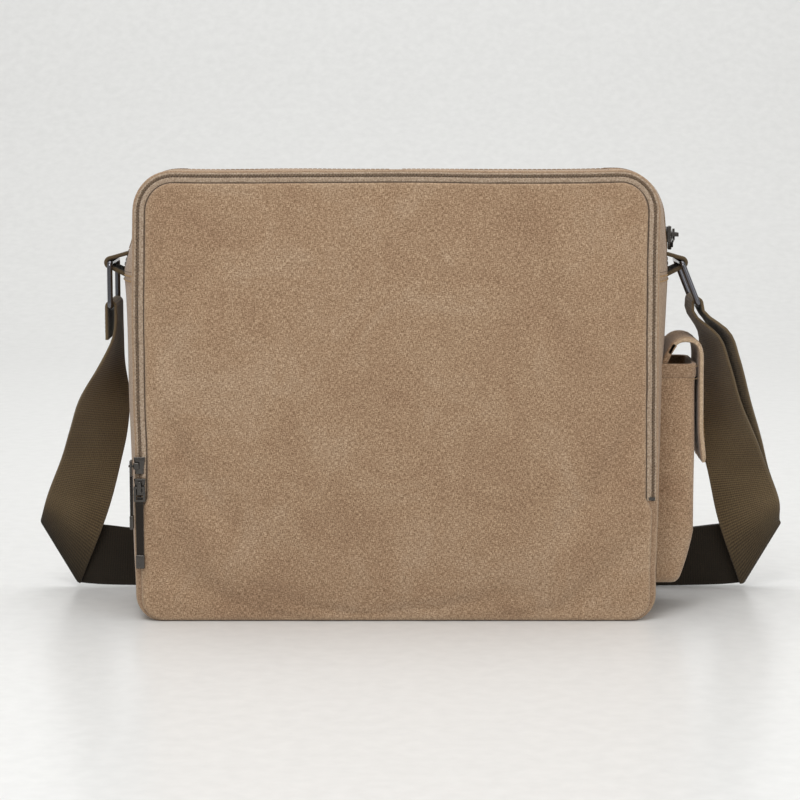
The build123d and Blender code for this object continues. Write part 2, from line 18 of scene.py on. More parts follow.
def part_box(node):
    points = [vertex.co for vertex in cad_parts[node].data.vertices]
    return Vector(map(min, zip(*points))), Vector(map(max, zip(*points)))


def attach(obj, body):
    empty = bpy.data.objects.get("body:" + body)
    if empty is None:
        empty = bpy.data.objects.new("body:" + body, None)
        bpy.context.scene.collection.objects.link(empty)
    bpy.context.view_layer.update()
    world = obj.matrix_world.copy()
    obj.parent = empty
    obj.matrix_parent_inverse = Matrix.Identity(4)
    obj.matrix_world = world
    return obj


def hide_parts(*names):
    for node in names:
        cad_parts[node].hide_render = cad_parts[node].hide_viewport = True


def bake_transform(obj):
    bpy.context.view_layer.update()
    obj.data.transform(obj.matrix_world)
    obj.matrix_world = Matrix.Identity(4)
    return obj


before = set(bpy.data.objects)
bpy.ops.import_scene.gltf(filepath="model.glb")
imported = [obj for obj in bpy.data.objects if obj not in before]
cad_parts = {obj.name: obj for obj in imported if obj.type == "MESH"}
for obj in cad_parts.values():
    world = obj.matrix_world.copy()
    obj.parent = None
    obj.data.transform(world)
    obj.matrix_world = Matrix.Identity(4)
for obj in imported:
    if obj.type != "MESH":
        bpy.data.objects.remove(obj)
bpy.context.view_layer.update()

LOG = logging.getLogger("messenger_bag")
MM = 0.001
UP = np.array((0.0, 0.0, 1.0))
UP_Y = np.array((0.0, 1.0, 0.0))  # towards the back


class Hand(Enum):
    """The bag's two sides, seen from the front."""

    LEFT = -1
    RIGHT = 1

    @property
    def word(self) -> str:
        """The side's name, as pieces are named."""
        return self.name.lower()


class Face(Enum):
    """The two halves of the mouth, and of what lies along it."""

    FRONT = -1
    REAR = 1

    @property
    def word(self) -> str:
        """The half's name, as pieces are named."""
        return self.name.lower()


# ---------------------------------------------------------------- finishes


def linear(code: str) -> tuple[float, float, float, float]:
    """Turns an sRGB hex colour into linear values.

    Args:
        code: Six hex digits, after a hash sign.

    Returns:
        Linear red, green and blue, and an alpha of one.
    """
    parts = [int(code[i : i + 2], 16) / 255 for i in (1, 3, 5)]
    turned = [p / 12.92 if p <= 0.04045 else ((p + 0.055) / 1.055) ** 2.4 for p in parts]
    return (*turned, 1.0)


def add_node(
    tree: bpy.types.NodeTree, kind: str, inputs: Optional[dict] = None, **settings: object
) -> bpy.types.Node:
    """Adds one node with its settings, input values and links.

    Args:
        tree: The node tree.
        kind: The node's type name.
        inputs: Socket name or number to a value, or to the socket that feeds it.
        **settings: The node's own properties.

    Returns:
        The new node.
    """
    node = tree.nodes.new(kind)
    for key, value in settings.items():
        setattr(node, key, value)
    for key, value in (inputs or {}).items():
        if isinstance(value, bpy.types.NodeSocket):
            tree.links.new(value, node.inputs[key])
        else:
            node.inputs[key].default_value = value
    return node


def set_stops(ramp: bpy.types.Node, stops: Sequence[tuple[float, str]]) -> None:
    """Gives a colour ramp its stops.

    Args:
        ramp: The Color Ramp node.
        stops: Pairs of place and sRGB hex colour, from low to high.
    """
    elements = ramp.color_ramp.elements
    while len(elements) < len(stops):
        elements.new(0.5)
    for element, (place, code) in zip(elements, stops):
        element.position = place
        element.color = linear(code)


def new_material(name: str) -> tuple[bpy.types.Material, bpy.types.NodeTree]:
    """Starts an empty node material.

    Args:
        name: The material's name.

    Returns:
        The material and its node tree, with nothing in it.
    """
    material = bpy.data.materials.new(name)
    material.use_nodes = True
    material.node_tree.nodes.clear()
    return material, material.node_tree


def finish_material(tree: bpy.types.NodeTree, surface: bpy.types.NodeSocket) -> None:
    """Links a surface to the material's output."""
    add_node(tree, "ShaderNodeOutputMaterial", {"Surface": surface})


@dataclass(frozen=True)
class Cloth:
    """Plain woven cloth: crossed slubby threads that catch the light, over soft washed mottling.

    The threads are drawn about twice as coarse as real ones, so that they show.
    """

    name: str
    dark: str
    mid: str
    light: str
    worn: str
    thread: float = 0.46
    slub: float = 2.2
    mottle: float = 60.0
    mottle_share: float = 0.75
    speckle: float = 0.6
    bump: float = 0.35
    roughness: float = 0.93
    sheen: float = 0.2

    def make(self) -> bpy.types.Material:
        """Builds the material.

        Returns:
            The cloth's material.
        """
        material, tree = new_material(self.name)
        uv = add_node(tree, "ShaderNodeUVMap", uv_map="UVMap").outputs["UV"]
        place = add_node(tree, "ShaderNodeTexCoord").outputs["Object"]
        fine, long = 1 / (self.thread * MM), 1 / (self.slub * MM)
        threads = []
        for scale in ((long, fine, 1.0), (fine, long, 1.0)):
            moved = add_node(tree, "ShaderNodeMapping", {"Vector": uv, "Scale": scale})
            inputs = {"Vector": moved.outputs[0], "Scale": 1.0, "Detail": 2.0, "Roughness": 0.6}
            threads.append(add_node(tree, "ShaderNodeTexNoise", inputs).outputs["Fac"])
        weave = add_node(
            tree, "ShaderNodeMath", {0: threads[0], 1: threads[1]}, operation="MAXIMUM"
        ).outputs[0]
        speck = add_node(
            tree, "ShaderNodeTexNoise",
            {"Vector": place, "Scale": 1 / (self.speckle * MM), "Detail": 3.0}
        ).outputs["Fac"]
        grain = add_node(
            tree, "ShaderNodeMix", {0: 0.18, 2: weave, 3: speck}, data_type="FLOAT"
        ).outputs[0]
        ramp = add_node(tree, "ShaderNodeValToRGB", {"Fac": grain})
        set_stops(ramp, ((0.45, self.dark), (0.56, self.mid), (0.66, self.light)))
        cloud = add_node(
            tree,
            "ShaderNodeTexNoise",
            {
                "Vector": place,
                "Scale": 1 / (self.mottle * MM),
                "Detail": 6.0,
                "Roughness": 0.7,
                "Distortion": 0.8,
            },
        ).outputs["Fac"]
        tone = add_node(
            tree, "ShaderNodeMapRange",
            {"Value": cloud, "From Min": 0.33, "From Max": 0.68, "To Min": 0.0, "To Max": 1.0}
        ).outputs[0]
        shade = add_node(tree, "ShaderNodeValToRGB", {"Fac": tone})
        set_stops(shade, ((0.0, "#DDD0C6"), (0.5, "#F1EAE2"), (1.0, "#FFFFFF")))
        toned = add_node(
            tree, "ShaderNodeMix", {0: self.mottle_share, 6: ramp.outputs[0], 7: shade.outputs[0]},
            data_type="RGBA", blend_type="MULTIPLY"
        ).outputs[2]
        wear_and_shade = add_node(tree, "ShaderNodeAttribute", attribute_name="wear_and_shade").outputs["Fac"]
        rubbed = add_node(tree, "ShaderNodeMath", {0: wear_and_shade, 1: speck}, operation="MULTIPLY").outputs[0]
        colour = add_node(
            tree, "ShaderNodeMix", {0: rubbed, 6: toned, 7: linear(self.worn)}, data_type="RGBA"
        ).outputs[2]
        height = add_node(tree, "ShaderNodeMath", {0: weave, 1: speck}, operation="ADD").outputs[0]
        bump = add_node(
            tree, "ShaderNodeBump",
            {"Height": height, "Strength": self.bump, "Distance": self.thread * MM * 0.5}
        )
        shader = add_node(
            tree,
            "ShaderNodeBsdfPrincipled",
            {
                "Base Color": colour,
                "Roughness": self.roughness,
                "Normal": bump.outputs[0],
                "Sheen Weight": self.sheen,
                "Sheen Roughness": 0.5,
                "Specular IOR Level": 0.2,
            },
        )
        finish_material(tree, shader.outputs[0])
        return material


@dataclass(frozen=True)
class Webbing:
    """Heavy woven webbing: ribs across its width, a smooth selvedge, and dusty high threads."""

    name: str
    dark: str
    light: str
    edge: str
    # The near-black brown that painted shade darkens the strap towards, on its low run behind the bag.
    painted_shade: str = "#1A150E"
    rib: float = 1.6
    row: float = 1.3
    width: float = 40.0
    bump: float = 0.8
    roughness: float = 0.85

    def make(self) -> bpy.types.Material:
        """Builds the material, from UVs that run along the webbing and across it.

        Returns:
            The webbing's material.
        """
        material, tree = new_material(self.name)
        uv = add_node(tree, "ShaderNodeUVMap", uv_map="UVMap").outputs["UV"]
        split = add_node(tree, "ShaderNodeSeparateXYZ", {"Vector": uv})
        waves = []
        for direction, pitch in (("X", self.rib), ("Y", self.row)):
            inputs = {
                "Vector": uv, "Scale": 2 * math.pi / (20 * pitch * MM), "Distortion": 1.2,
                "Detail": 2.0, "Detail Scale": 0.6
            }
            wave = add_node(
                tree, "ShaderNodeTexWave", inputs, wave_type="BANDS", bands_direction=direction,
                wave_profile="SIN"
            )
            waves.append(wave.outputs["Fac"])
        both = add_node(
            tree, "ShaderNodeMix", {0: 0.3, 2: waves[0], 3: waves[1]}, data_type="FLOAT"
        ).outputs[0]
        fuzz = add_node(
            tree, "ShaderNodeTexNoise", {"Vector": uv, "Scale": 1 / (1.1 * MM), "Detail": 3.0}
        ).outputs["Fac"]
        relief = add_node(
            tree, "ShaderNodeMix", {0: 0.55, 2: both, 3: fuzz}, data_type="FLOAT"
        ).outputs[0]
        ramp = add_node(tree, "ShaderNodeValToRGB", {"Fac": relief})
        set_stops(ramp, ((0.25, self.dark), (0.75, self.light)))
        middle = self.width / 2 * MM
        off = add_node(
            tree, "ShaderNodeMath", {0: split.outputs["Y"], 1: middle}, operation="SUBTRACT"
        ).outputs[0]
        away = add_node(tree, "ShaderNodeMath", {0: off}, operation="ABSOLUTE").outputs[0]
        selvedge = add_node(
            tree,
            "ShaderNodeMapRange",
            {
                "Value": away,
                "From Min": middle - 2.2 * MM,
                "From Max": middle - 1.0 * MM,
                "To Min": 0.0,
                "To Max": 0.55,
            },
        ).outputs[0]
        colour = add_node(
            tree, "ShaderNodeMix", {0: selvedge, 6: ramp.outputs[0], 7: linear(self.edge)},
            data_type="RGBA"
        ).outputs[2]
        # Painted shade: the per-point channel darkens the webbing towards a near-black brown on the strap's
        # low run behind the bag.
        painted_shade_mask = add_node(tree, "ShaderNodeAttribute", attribute_name="wear_and_shade").outputs["Fac"]
        colour = add_node(
            tree, "ShaderNodeMix", {0: painted_shade_mask, 6: colour, 7: linear(self.painted_shade)}, data_type="RGBA"
        ).outputs[2]
        cloud = add_node(
            tree, "ShaderNodeTexNoise", {"Vector": uv, "Scale": 1 / (30 * MM), "Detail": 2.0}
        ).outputs["Fac"]
        shade = add_node(tree, "ShaderNodeValToRGB", {"Fac": cloud})
        set_stops(shade, ((0.3, "#D8D2CA"), (0.7, "#FFFFFF")))
        toned = add_node(
            tree, "ShaderNodeMix", {0: 0.7, 6: colour, 7: shade.outputs[0]}, data_type="RGBA",
            blend_type="MULTIPLY"
        ).outputs[2]
        bump = add_node(
            tree, "ShaderNodeBump", {"Height": relief, "Strength": self.bump, "Distance": 0.5 * MM}
        )
        shader = add_node(
            tree,
            "ShaderNodeBsdfPrincipled",
            {
                "Base Color": toned,
                "Roughness": self.roughness,
                "Normal": bump.outputs[0],
                "Sheen Weight": 0.15,
                "Specular IOR Level": 0.25,
            },
        )
        finish_material(tree, shader.outputs[0])
        return material


@dataclass(frozen=True)
class Plated:
    """Plated zinc: polished metal with faint handling marks in its gloss; for the rings its colour is set
    dark as a painted dark reflection.
    """

    name: str
    colour: str
    roughness: float = 0.2
    marks: float = 0.12

    def make(self) -> bpy.types.Material:
        """Builds the material.

        Returns:
            The metal's material.
        """
        material, tree = new_material(self.name)
        place = add_node(tree, "ShaderNodeTexCoord").outputs["Object"]
        smear = add_node(
            tree, "ShaderNodeTexNoise", {"Vector": place, "Scale": 1 / (4 * MM), "Detail": 4.0}
        ).outputs["Fac"]
        rough = add_node(
            tree,
            "ShaderNodeMapRange",
            {
                "Value": smear,
                "From Min": 0.3,
                "From Max": 0.7,
                "To Min": self.roughness,
                "To Max": self.roughness + self.marks,
            },
        ).outputs[0]
        scratch = add_node(
            tree, "ShaderNodeTexNoise", {"Vector": place, "Scale": 1 / (0.8 * MM), "Detail": 2.0}
        ).outputs["Fac"]
        bump = add_node(
            tree, "ShaderNodeBump", {"Height": scratch, "Strength": 0.05, "Distance": 0.05 * MM}
        )
        shader = add_node(
            tree,
            "ShaderNodeBsdfPrincipled",
            {
                "Base Color": linear(self.colour),
                "Metallic": 1.0,
                "Roughness": rough,
                "Normal": bump.outputs[0],
            },
        )
        finish_material(tree, shader.outputs[0])
        return material


@dataclass(frozen=True)
class Plain:
    """Nylon, thread or moulded sheet: one colour broken by fine grain, with a soft gloss."""

    name: str
    dark: str
    light: str
    grain: float = 0.9
    roughness: float = 0.6
    bump: float = 0.2

    def make(self) -> bpy.types.Material:
        """Builds the material.

        Returns:
            The material.
        """
        material, tree = new_material(self.name)
        place = add_node(tree, "ShaderNodeTexCoord").outputs["Object"]
        speck = add_node(
            tree, "ShaderNodeTexNoise",
            {"Vector": place, "Scale": 1 / (self.grain * MM), "Detail": 3.0}
        ).outputs["Fac"]
        ramp = add_node(tree, "ShaderNodeValToRGB", {"Fac": speck})
        set_stops(ramp, ((0.35, self.dark), (0.65, self.light)))
        bump = add_node(
            tree, "ShaderNodeBump", {"Height": speck, "Strength": self.bump, "Distance": 0.2 * MM}
        )
        shader = add_node(
            tree, "ShaderNodeBsdfPrincipled",
            {"Base Color": ramp.outputs[0], "Roughness": self.roughness, "Normal": bump.outputs[0]}
        )
        finish_material(tree, shader.outputs[0])
        return material


class Finishes:
    """Every finish on the bag, each made once."""

    def __init__(self) -> None:
        """Makes the materials."""
        # Gives the eye a washed, slubby cloth, pale where it has rubbed.
        self.canvas = Cloth("washed_cotton_canvas", "#7E664F", "#A98F75", "#CDB499", "#D0BB9F").make()
        # Reads as the same cloth turned over a cord. It is plainer, and a little darker as painted shade for
        # the turn.
        self.edge_canvas = Cloth(
            "shaded_canvas_piping", "#7A604A", "#998068", "#B79E84", "#C0AA90", mottle_share=0.3
        ).make()
        # Gives a smooth, dark inside that sets the canvas off.
        self.lining = Cloth(
            "polyester_lining", "#4E4338", "#5F5245", "#6F6152", "#6F6152", thread=0.6, bump=0.15,
            roughness=0.7, mottle_share=0.2
        ).make()
        # Reads as a close twill beside the teeth, greyer and flatter than the canvas.
        self.tape = Cloth(
            "woven_zip_tape", "#8C7865", "#A99682", "#C2B09D", "#C2B09D", thread=0.7, slub=2.0,
            mottle_share=0.2
        ).make()
        # Gives the strap its ribs and its lighter worn edges.
        self.webbing = Webbing("cotton_webbing", "#45392A", "#7A6749", "#6F5F48").make()
        # Reads as the strap's webbing, set darker all over as painted shade for its tight fold round the
        # ring.
        self.tab_webbing = Webbing("tab_webbing", "#3A3022", "#665640", "#65563F", width=38.0).make()
        # Gives a row of small brown teeth with soft lights.
        self.coil = Plain("nylon_coil", "#4E3E2F", "#7A654F", roughness=0.7).make()
        # Gives the rings bright, sharp lights; the nickel's colour is set dark as a painted dark reflection
        # of the surroundings.
        self.nickel = Plated("polished_dark_nickel", "#66666B", 0.1).make()
        # Gives the sliders duller lights than the rings.
        self.gunmetal = Plated("gunmetal_plating", "#55524F", 0.2).make()
        # Reads as a nearly black woven tape.
        self.pull_cord = Cloth(
            "woven_pull_tape", "#17130F", "#241F1A", "#3B342D", "#5A5148", thread=0.7, slub=2.0,
            mottle_share=0.2
        ).make()
        # Stands out from the canvas as tan stitches.
        self.thread = Plain("tan_thread", "#9C7A4E", "#B9986A", roughness=0.7).make()
        # Sinks into the canvas and is seen by its shadow.
        self.tonal_thread = Plain("khaki_thread", "#7E6448", "#A68A68", roughness=0.7).make()
        # Brown thread for the strap's sewn end. It also draws the thin dark line along the panel's seam,
        # which is painted shade in the groove between panel and tape.
        self.dark_thread = Plain("brown_thread", "#43352A", "#655340", roughness=0.7).make()
        # Reads as a plain black plastic sheet.
        self.board = Plain("polypropylene_board", "#141414", "#202020", roughness=0.5).make()
        # Gives a dull fuzz with no light on it.
        self.loop = Plain(
            "loop_fastener", "#14110E", "#3A332B", grain=0.7, roughness=0.95, bump=1.0
        ).make()


# ---------------------------------------------------------------- mesh making


def settled(points: np.ndarray) -> np.ndarray:
    """The soft bag's top at rest: its front edge stands up and the top slopes down behind it.

    Args:
        points: Rows of x, y, z, in millimetres.

    Returns:
        The rows, moved up or down near the top of the bag.
    """
    share = np.clip((points[:, 2] - 200.0) / 88.0, 0, 1)
    share = share * share * (3 - 2 * share)
    back = np.clip((points[:, 1] + 51.0) / 98.0, 0, 1)
    moved = points.copy()
    moved[:, 2] += share * (4.5 - 12.0 * back)
    lift = np.clip((points[:, 2] - 15.0) / 40.0, 0, 1)
    inside = np.clip((177.0 - np.abs(points[:, 0])) / 6.0, 0, 1) * lift
    slow = points * (0.3, 0.4, 1.0)
    moved[:, 0] += 1.1 * inside * ruffle(slow, 48.0, 91.0)
    slow = points * (1.0, 0.4, 0.3)
    moved[:, 2] += 0.9 * inside * share * ruffle(slow, 60.0, 95.0)
    return moved


class Skin:
    """Collects points and faces with their UVs, and makes one mesh of them."""

    def __init__(self, name: str) -> None:
        """Starts an empty skin.

        Args:
            name: The piece's name.
        """
        self.name = name
        self.points: list[np.ndarray] = []
        self.faces: list[list[int]] = []
        self.corners: list[tuple[float, float]] = []
        self.wear_and_shade: list[np.ndarray] = []
        self.count = 0

    def add_points(self, points: np.ndarray, wear_and_shade: Optional[np.ndarray] = None) -> int:
        """Adds points, in millimetres.

        Args:
            points: An array whose last axis is x, y, z.
            wear_and_shade: How rubbed each point is, from 0 to 1; on the strap's webbing, how much painted
                shade darkens the point instead.

        Returns:
            The number of the first new point.
        """
        flat = np.asarray(points, float).reshape(-1, 3)
        first = self.count
        self.points.append(flat)
        self.wear_and_shade.append(np.zeros(len(flat)) if wear_and_shade is None else np.asarray(wear_and_shade).reshape(-1))
        self.count += len(flat)
        return first

    def add_grid(
        self, grid: np.ndarray, uv: np.ndarray, wrap: bool = False, turned: bool = False,
        wear_and_shade: Optional[np.ndarray] = None
    ) -> int:
        """Adds a grid of quads.

        Args:
            grid: Rows by columns by 3, in millimetres.
            uv: Rows by columns by 2, in millimetres, with one more column if it wraps.
            wrap: Joins the last column to the first.
            turned: Turns the faces the other way.
            wear_and_shade: Rows by columns of rubbing; on the strap's webbing, of painted shade.

        Returns:
            The number of the grid's first point.
        """
        rows, columns = grid.shape[:2]
        first = self.add_points(grid, wear_and_shade)
        for i in range(rows - 1):
            for j in range(columns if wrap else columns - 1):
                k = (j + 1) % columns
                quad = [(i, j, j), (i, k, j + 1), (i + 1, k, j + 1), (i + 1, j, j)]
                if turned:
                    quad.reverse()
                self.faces.append([first + r * columns + c for r, c, _ in quad])
                self.corners.extend(tuple(uv[r, u] * MM) for r, _, u in quad)
        return first

    def add_face(self, loop: Sequence[int], uvs: Sequence[Sequence[float]]) -> None:
        """Adds one face with its corners' UVs, in millimetres."""
        self.faces.append(list(loop))
        self.corners.extend((u * MM, v * MM) for u, v in uvs)

    def build(self, smooth_angle: float = 50.0) -> bpy.types.Object:
        """Makes the mesh object, in metres, with its place in its mesh.

        Args:
            smooth_angle: Edges sharper than this, in degrees, stay crisp.

        Returns:
            The new object, at the origin.
        """
        mesh = bpy.data.meshes.new(self.name)
        points = settled(np.concatenate(self.points)) * MM
        mesh.from_pydata(points.tolist(), [], self.faces)
        layer = mesh.uv_layers.new(name="UVMap")
        layer.data.foreach_set("uv", np.asarray(self.corners, np.float32).reshape(-1))
        attribute = mesh.attributes.new("wear_and_shade", "FLOAT", "POINT")
        attribute.data.foreach_set("value", np.concatenate(self.wear_and_shade).astype(np.float32))
        mesh.update()
        piece = bpy.data.objects.new(self.name, mesh)
        bpy.context.scene.collection.objects.link(piece)
        smooth(piece, smooth_angle)
        return piece


def only(piece: bpy.types.Object) -> None:
    """Selects one object and makes it the active one."""
    bpy.ops.object.select_all(action="DESELECT")
    piece.select_set(True)
    bpy.context.view_layer.objects.active = piece


def smooth(piece: bpy.types.Object, angle: float = 50.0) -> None:
    """Shades a piece smooth except along sharp edges."""
    only(piece)
    bpy.ops.object.shade_smooth_by_angle(angle=math.radians(angle))


def ruffle(points: np.ndarray, size: float, seed: float) -> np.ndarray:
    """Smooth noise at points, from about -1 to 1.

    Args:
        points: An array whose last axis is x, y, z, in millimetres.
        size: The noise's feature size, in millimetres.
        seed: Moves the noise elsewhere, so that pieces differ.

    Returns:
        One value for each point.
    """
    flat = np.asarray(points, float).reshape(-1, 3) / size + seed
    values = [noise.noise(Vector(p)) for p in flat]
    return np.array(values).reshape(np.asarray(points).shape[:-1])


def shell(
    name: str, outer: np.ndarray, inner: np.ndarray, uv: np.ndarray,
    wear_and_shade: Optional[np.ndarray] = None, outward: Optional[Sequence[float]] = None
) -> bpy.types.Object:
    """A closed piece of cloth from its outer and inner surfaces.

    Args:
        name: The piece's name.
        outer: Rows by columns by 3, in millimetres.
        inner: The same for the other side.
        uv: Rows by columns by 2, in millimetres.
        wear_and_shade: Rows by columns of rubbing on the outer side; on the strap's webbing, of painted
            shade.
        outward: The way the outer side's middle faces. It is worked out if left out.

    Returns:
        The piece.
    """
    skin = Skin(name)
    rows, columns = outer.shape[:2]
    i, j = rows // 2, columns // 2
    i, j = min(i, rows - 2), min(j, columns - 2)
    normal = np.cross(outer[i, j + 1] - outer[i, j], outer[i + 1, j] - outer[i, j])
    away = outer[i, j] - inner[i, j] if outward is None else np.array(outward)
    turned = float(normal @ away) < 0
    first = skin.add_grid(outer, uv, turned=turned, wear_and_shade=wear_and_shade)
    second = skin.add_grid(inner, uv, turned=not turned, wear_and_shade=wear_and_shade)
    rim = [(0, c) for c in range(columns)] + [(r, columns - 1) for r in range(1, rows)]
    rim += [(rows - 1, c) for c in range(columns - 2, -1, -1)]
    rim += [(r, 0) for r in range(rows - 2, 0, -1)]
    for (r, c), (s, d) in zip(rim, rim[1:] + rim[:1]):
        a, b = r * columns + c, s * columns + d
        loop = [first + b, first + a, second + a, second + b]
        places = [uv[s, d], uv[r, c], uv[r, c] + 1.0, uv[s, d] + 1.0]
        if turned:
            loop.reverse()
            places.reverse()
        skin.add_face(loop, places)
    return skin.build()


def dress(
    piece: bpy.types.Object, material: bpy.types.Material, body: str = "",
    replaces: Sequence[str] = ()
) -> bpy.types.Object:
    """Gives a piece its finish, its body and the nodes that it stands for.

    Args:
        piece: The piece.
        material: Its finish.
        body: The body it rides on. Left empty where it rides on none.
        replaces: CAD nodes that it stands for.

    Returns:
        The piece.
    """
    piece.data.materials.clear()
    piece.data.materials.append(material)
    if replaces:
        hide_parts(*replaces)
    if body:
        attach(piece, body)
    LOG.info("made %s, %d faces", piece.name, len(piece.data.polygons))
    return piece


def unit(vector: np.ndarray) -> np.ndarray:
    """Vectors along the last axis, scaled to a length of one."""
    length = np.linalg.norm(vector, axis=-1, keepdims=True)
    return vector / np.where(length < 1e-9, 1, length)


def resample(points: np.ndarray, pitch: float) -> np.ndarray:
    """Points evenly spaced along a run of points.

    Args:
        points: Two or more points, with any number of columns, spaced by their first three.
        pitch: About how far apart the new ones are.

    Returns:
        The new points, ends included.
    """
    steps = np.linalg.norm(np.diff(points[:, :3], axis=0), axis=1)
    along = np.concatenate([[0], np.cumsum(steps)])
    count = max(int(round(along[-1] / pitch)), 1)
    wanted = np.linspace(0, along[-1], count + 1)
    return np.stack([np.interp(wanted, along, column) for column in points.T], axis=1)


def curve_through(points: np.ndarray, pitch: float) -> np.ndarray:
    """A smooth curve through points, evenly sampled.

    Args:
        points: Three or more points, with any number of columns.
        pitch: About how far apart the samples are.

    Returns:
        The samples.
    """
    steps = np.linalg.norm(np.diff(points[:, :3], axis=0), axis=1) ** 0.5
    knots = np.concatenate([[0], np.cumsum(steps)])
    slopes = np.gradient(points, knots, axis=0)
    out = []
    for i in range(len(points) - 1):
        gap = knots[i + 1] - knots[i]
        t = np.linspace(0, 1, 24, endpoint=i == len(points) - 2)[:, None]
        out.append(
            (2 * t**3 - 3 * t**2 + 1) * points[i]
            + (t**3 - 2 * t**2 + t) * gap * slopes[i]
            + (3 * t**2 - 2 * t**3) * points[i + 1]
            + (t**3 - t**2) * gap * slopes[i + 1]
        )
    return resample(np.concatenate(out), pitch)


def spindle_stitches(
    name: str, lines: Sequence[tuple[np.ndarray, np.ndarray]], pitch: float = 3.2, thick: float = 0.4
) -> bpy.types.Object:
    """Rows of sewing thread: one small spindle a stitch, half sunk in the cloth.

    Args:
        name: The piece's name.
        lines: Pairs of a seam's points and the way out of the cloth at each.
        pitch: From one stitch to the next, in millimetres.
        thick: The thread's radius, in millimetres.

    Returns:
        The piece.
    """
    skin = Skin(name)
    rings = ((-0.42, 0.35), (-0.25, 1.0), (0.25, 1.0), (0.42, 0.35))
    for points, normals in lines:
        both = resample(np.concatenate([points, normals], axis=1), pitch)
        for a, b in zip(both[:-1], both[1:]):
            along = unit(b[:3] - a[:3])
            out = unit((a[3:] + b[3:]) / 2)
            across = np.cross(along, out)
            centre = (a[:3] + b[:3]) / 2 + out * thick * 0.3
            loops = []
            for place, share in rings:
                for k in range(5):
                    angle = 2 * math.pi * k / 5
                    way = across * math.cos(angle) + out * math.sin(angle) * 0.7
                    loops.append(centre + along * place * pitch + way * thick * share)
            first = skin.add_points(np.array(loops))
            for r in range(3):
                for k in range(5):
                    m = (k + 1) % 5
                    quad = [first + r * 5 + k, first + r * 5 + m]
                    quad += [first + (r + 1) * 5 + m, first + (r + 1) * 5 + k]
                    skin.add_face(quad[::-1], [(0, 0), (0, 1), (1, 1), (1, 0)])
            skin.add_face([first + k for k in range(5)], [(0, 0)] * 5)
            skin.add_face([first + 19 - k for k in range(5)], [(0, 0)] * 5)
    return skin.build(80)


# ---------------------------------------------------------------- the bag's outline


@dataclass
class Outline:
    """The bag's front outline: a rounded upright rectangle, with its way out at each point."""

    half_width: float = 168.5
    height: float = 288.0
    top_radius: float = 26.0
    bottom_radius: float = 17.0

    def _arc(self, x: float, z: float, radius: float, start: float, end: float) -> list[tuple]:
        """Points and ways out round one corner, in degrees from +X towards +Z."""
        out = []
        for k in range(1, 12):
            angle = math.radians(start + (end - start) * k / 12)
            c, s = math.cos(angle), math.sin(angle)
            out.append((x + radius * c, z + radius * s, c, s))
        return out

    def cover_run(self, foot: float) -> np.ndarray:
        """The run over the top, from one side's foot to the other's.

        Args:
            foot: Height that the run starts and ends at.

        Returns:
            Rows of x, z and the way out.
        """
        w, h, r = self.half_width, self.height, self.top_radius
        rows = [(-w, foot, -1, 0), (-w, h - r, -1, 0)]
        rows += self._arc(-w + r, h - r, r, 180, 90)
        rows += [(-w + r, h, 0, 1), (w - r, h, 0, 1)]
        rows += self._arc(w - r, h - r, r, 90, 0)
        rows += [(w, h - r, 1, 0), (w, foot, 1, 0)]
        return np.array(rows, float)

    def base_run(self, top: float) -> np.ndarray:
        """The run under the base, from one side's top to the other's."""
        w, r = self.half_width, self.bottom_radius
        rows = [(-w, top, -1, 0), (-w, r, -1, 0)]
        rows += self._arc(-w + r, r, r, 180, 270)
        rows += [(-w + r, 0, 0, -1), (w - r, 0, 0, -1)]
        rows += self._arc(w - r, r, r, 270, 360)
        rows += [(w, r, 1, 0), (w, top, 1, 0)]
        return np.array(rows, float)

    def whole(self) -> np.ndarray:
        """The closed outline, from the middle of the base and back to it."""
        over = self.cover_run(100.0)
        under = self.base_run(100.0)
        middle = len(under) // 2
        rows = [under[middle:], over[::-1], under[:middle]]
        return np.concatenate([*rows, under[middle : middle + 1]])

    def spaced(self, run: np.ndarray, pitch: float) -> np.ndarray:
        """The run at an even pitch, with unit ways out and the length so far.

        Args:
            run: Rows of x, z and the way out.
            pitch: About how far apart the new rows are, in millimetres.

        Returns:
            Rows of x, z, the way out's two parts, and the length along.
        """
        padded = np.insert(run, 1, 0.0, axis=1)
        even = resample(padded, pitch)
        steps = np.linalg.norm(np.diff(even[:, :3], axis=0), axis=1)
        along = np.concatenate([[0], np.cumsum(steps)])
        ways = unit(even[:, 3:5])
        return np.column_stack([even[:, 0], even[:, 2], ways, along])


def edge_distance(
    x: np.ndarray, z: np.ndarray, half: float, low: float, high: float, radii: tuple[float, float]
) -> np.ndarray:
    """How far points are inside a rounded upright rectangle.

    Args:
        x: Their x.
        z: Their height.
        half: Half the rectangle's width.
        low: Its foot.
        high: Its top.
        radii: The radii of its bottom and top corners.

    Returns:
        The distance in from the edge, at least 0.
    """
    middle, tall = (low + high) / 2, (high - low) / 2
    radius = np.where(z < middle, radii[0], radii[1])
    qx = np.abs(x) - (half - radius)
    qz = np.abs(z - middle) - (tall - radius)
    outside = np.hypot(np.maximum(qx, 0), np.maximum(qz, 0))
    return np.maximum(radius - outside - np.minimum(np.maximum(qx, qz), 0), 0)


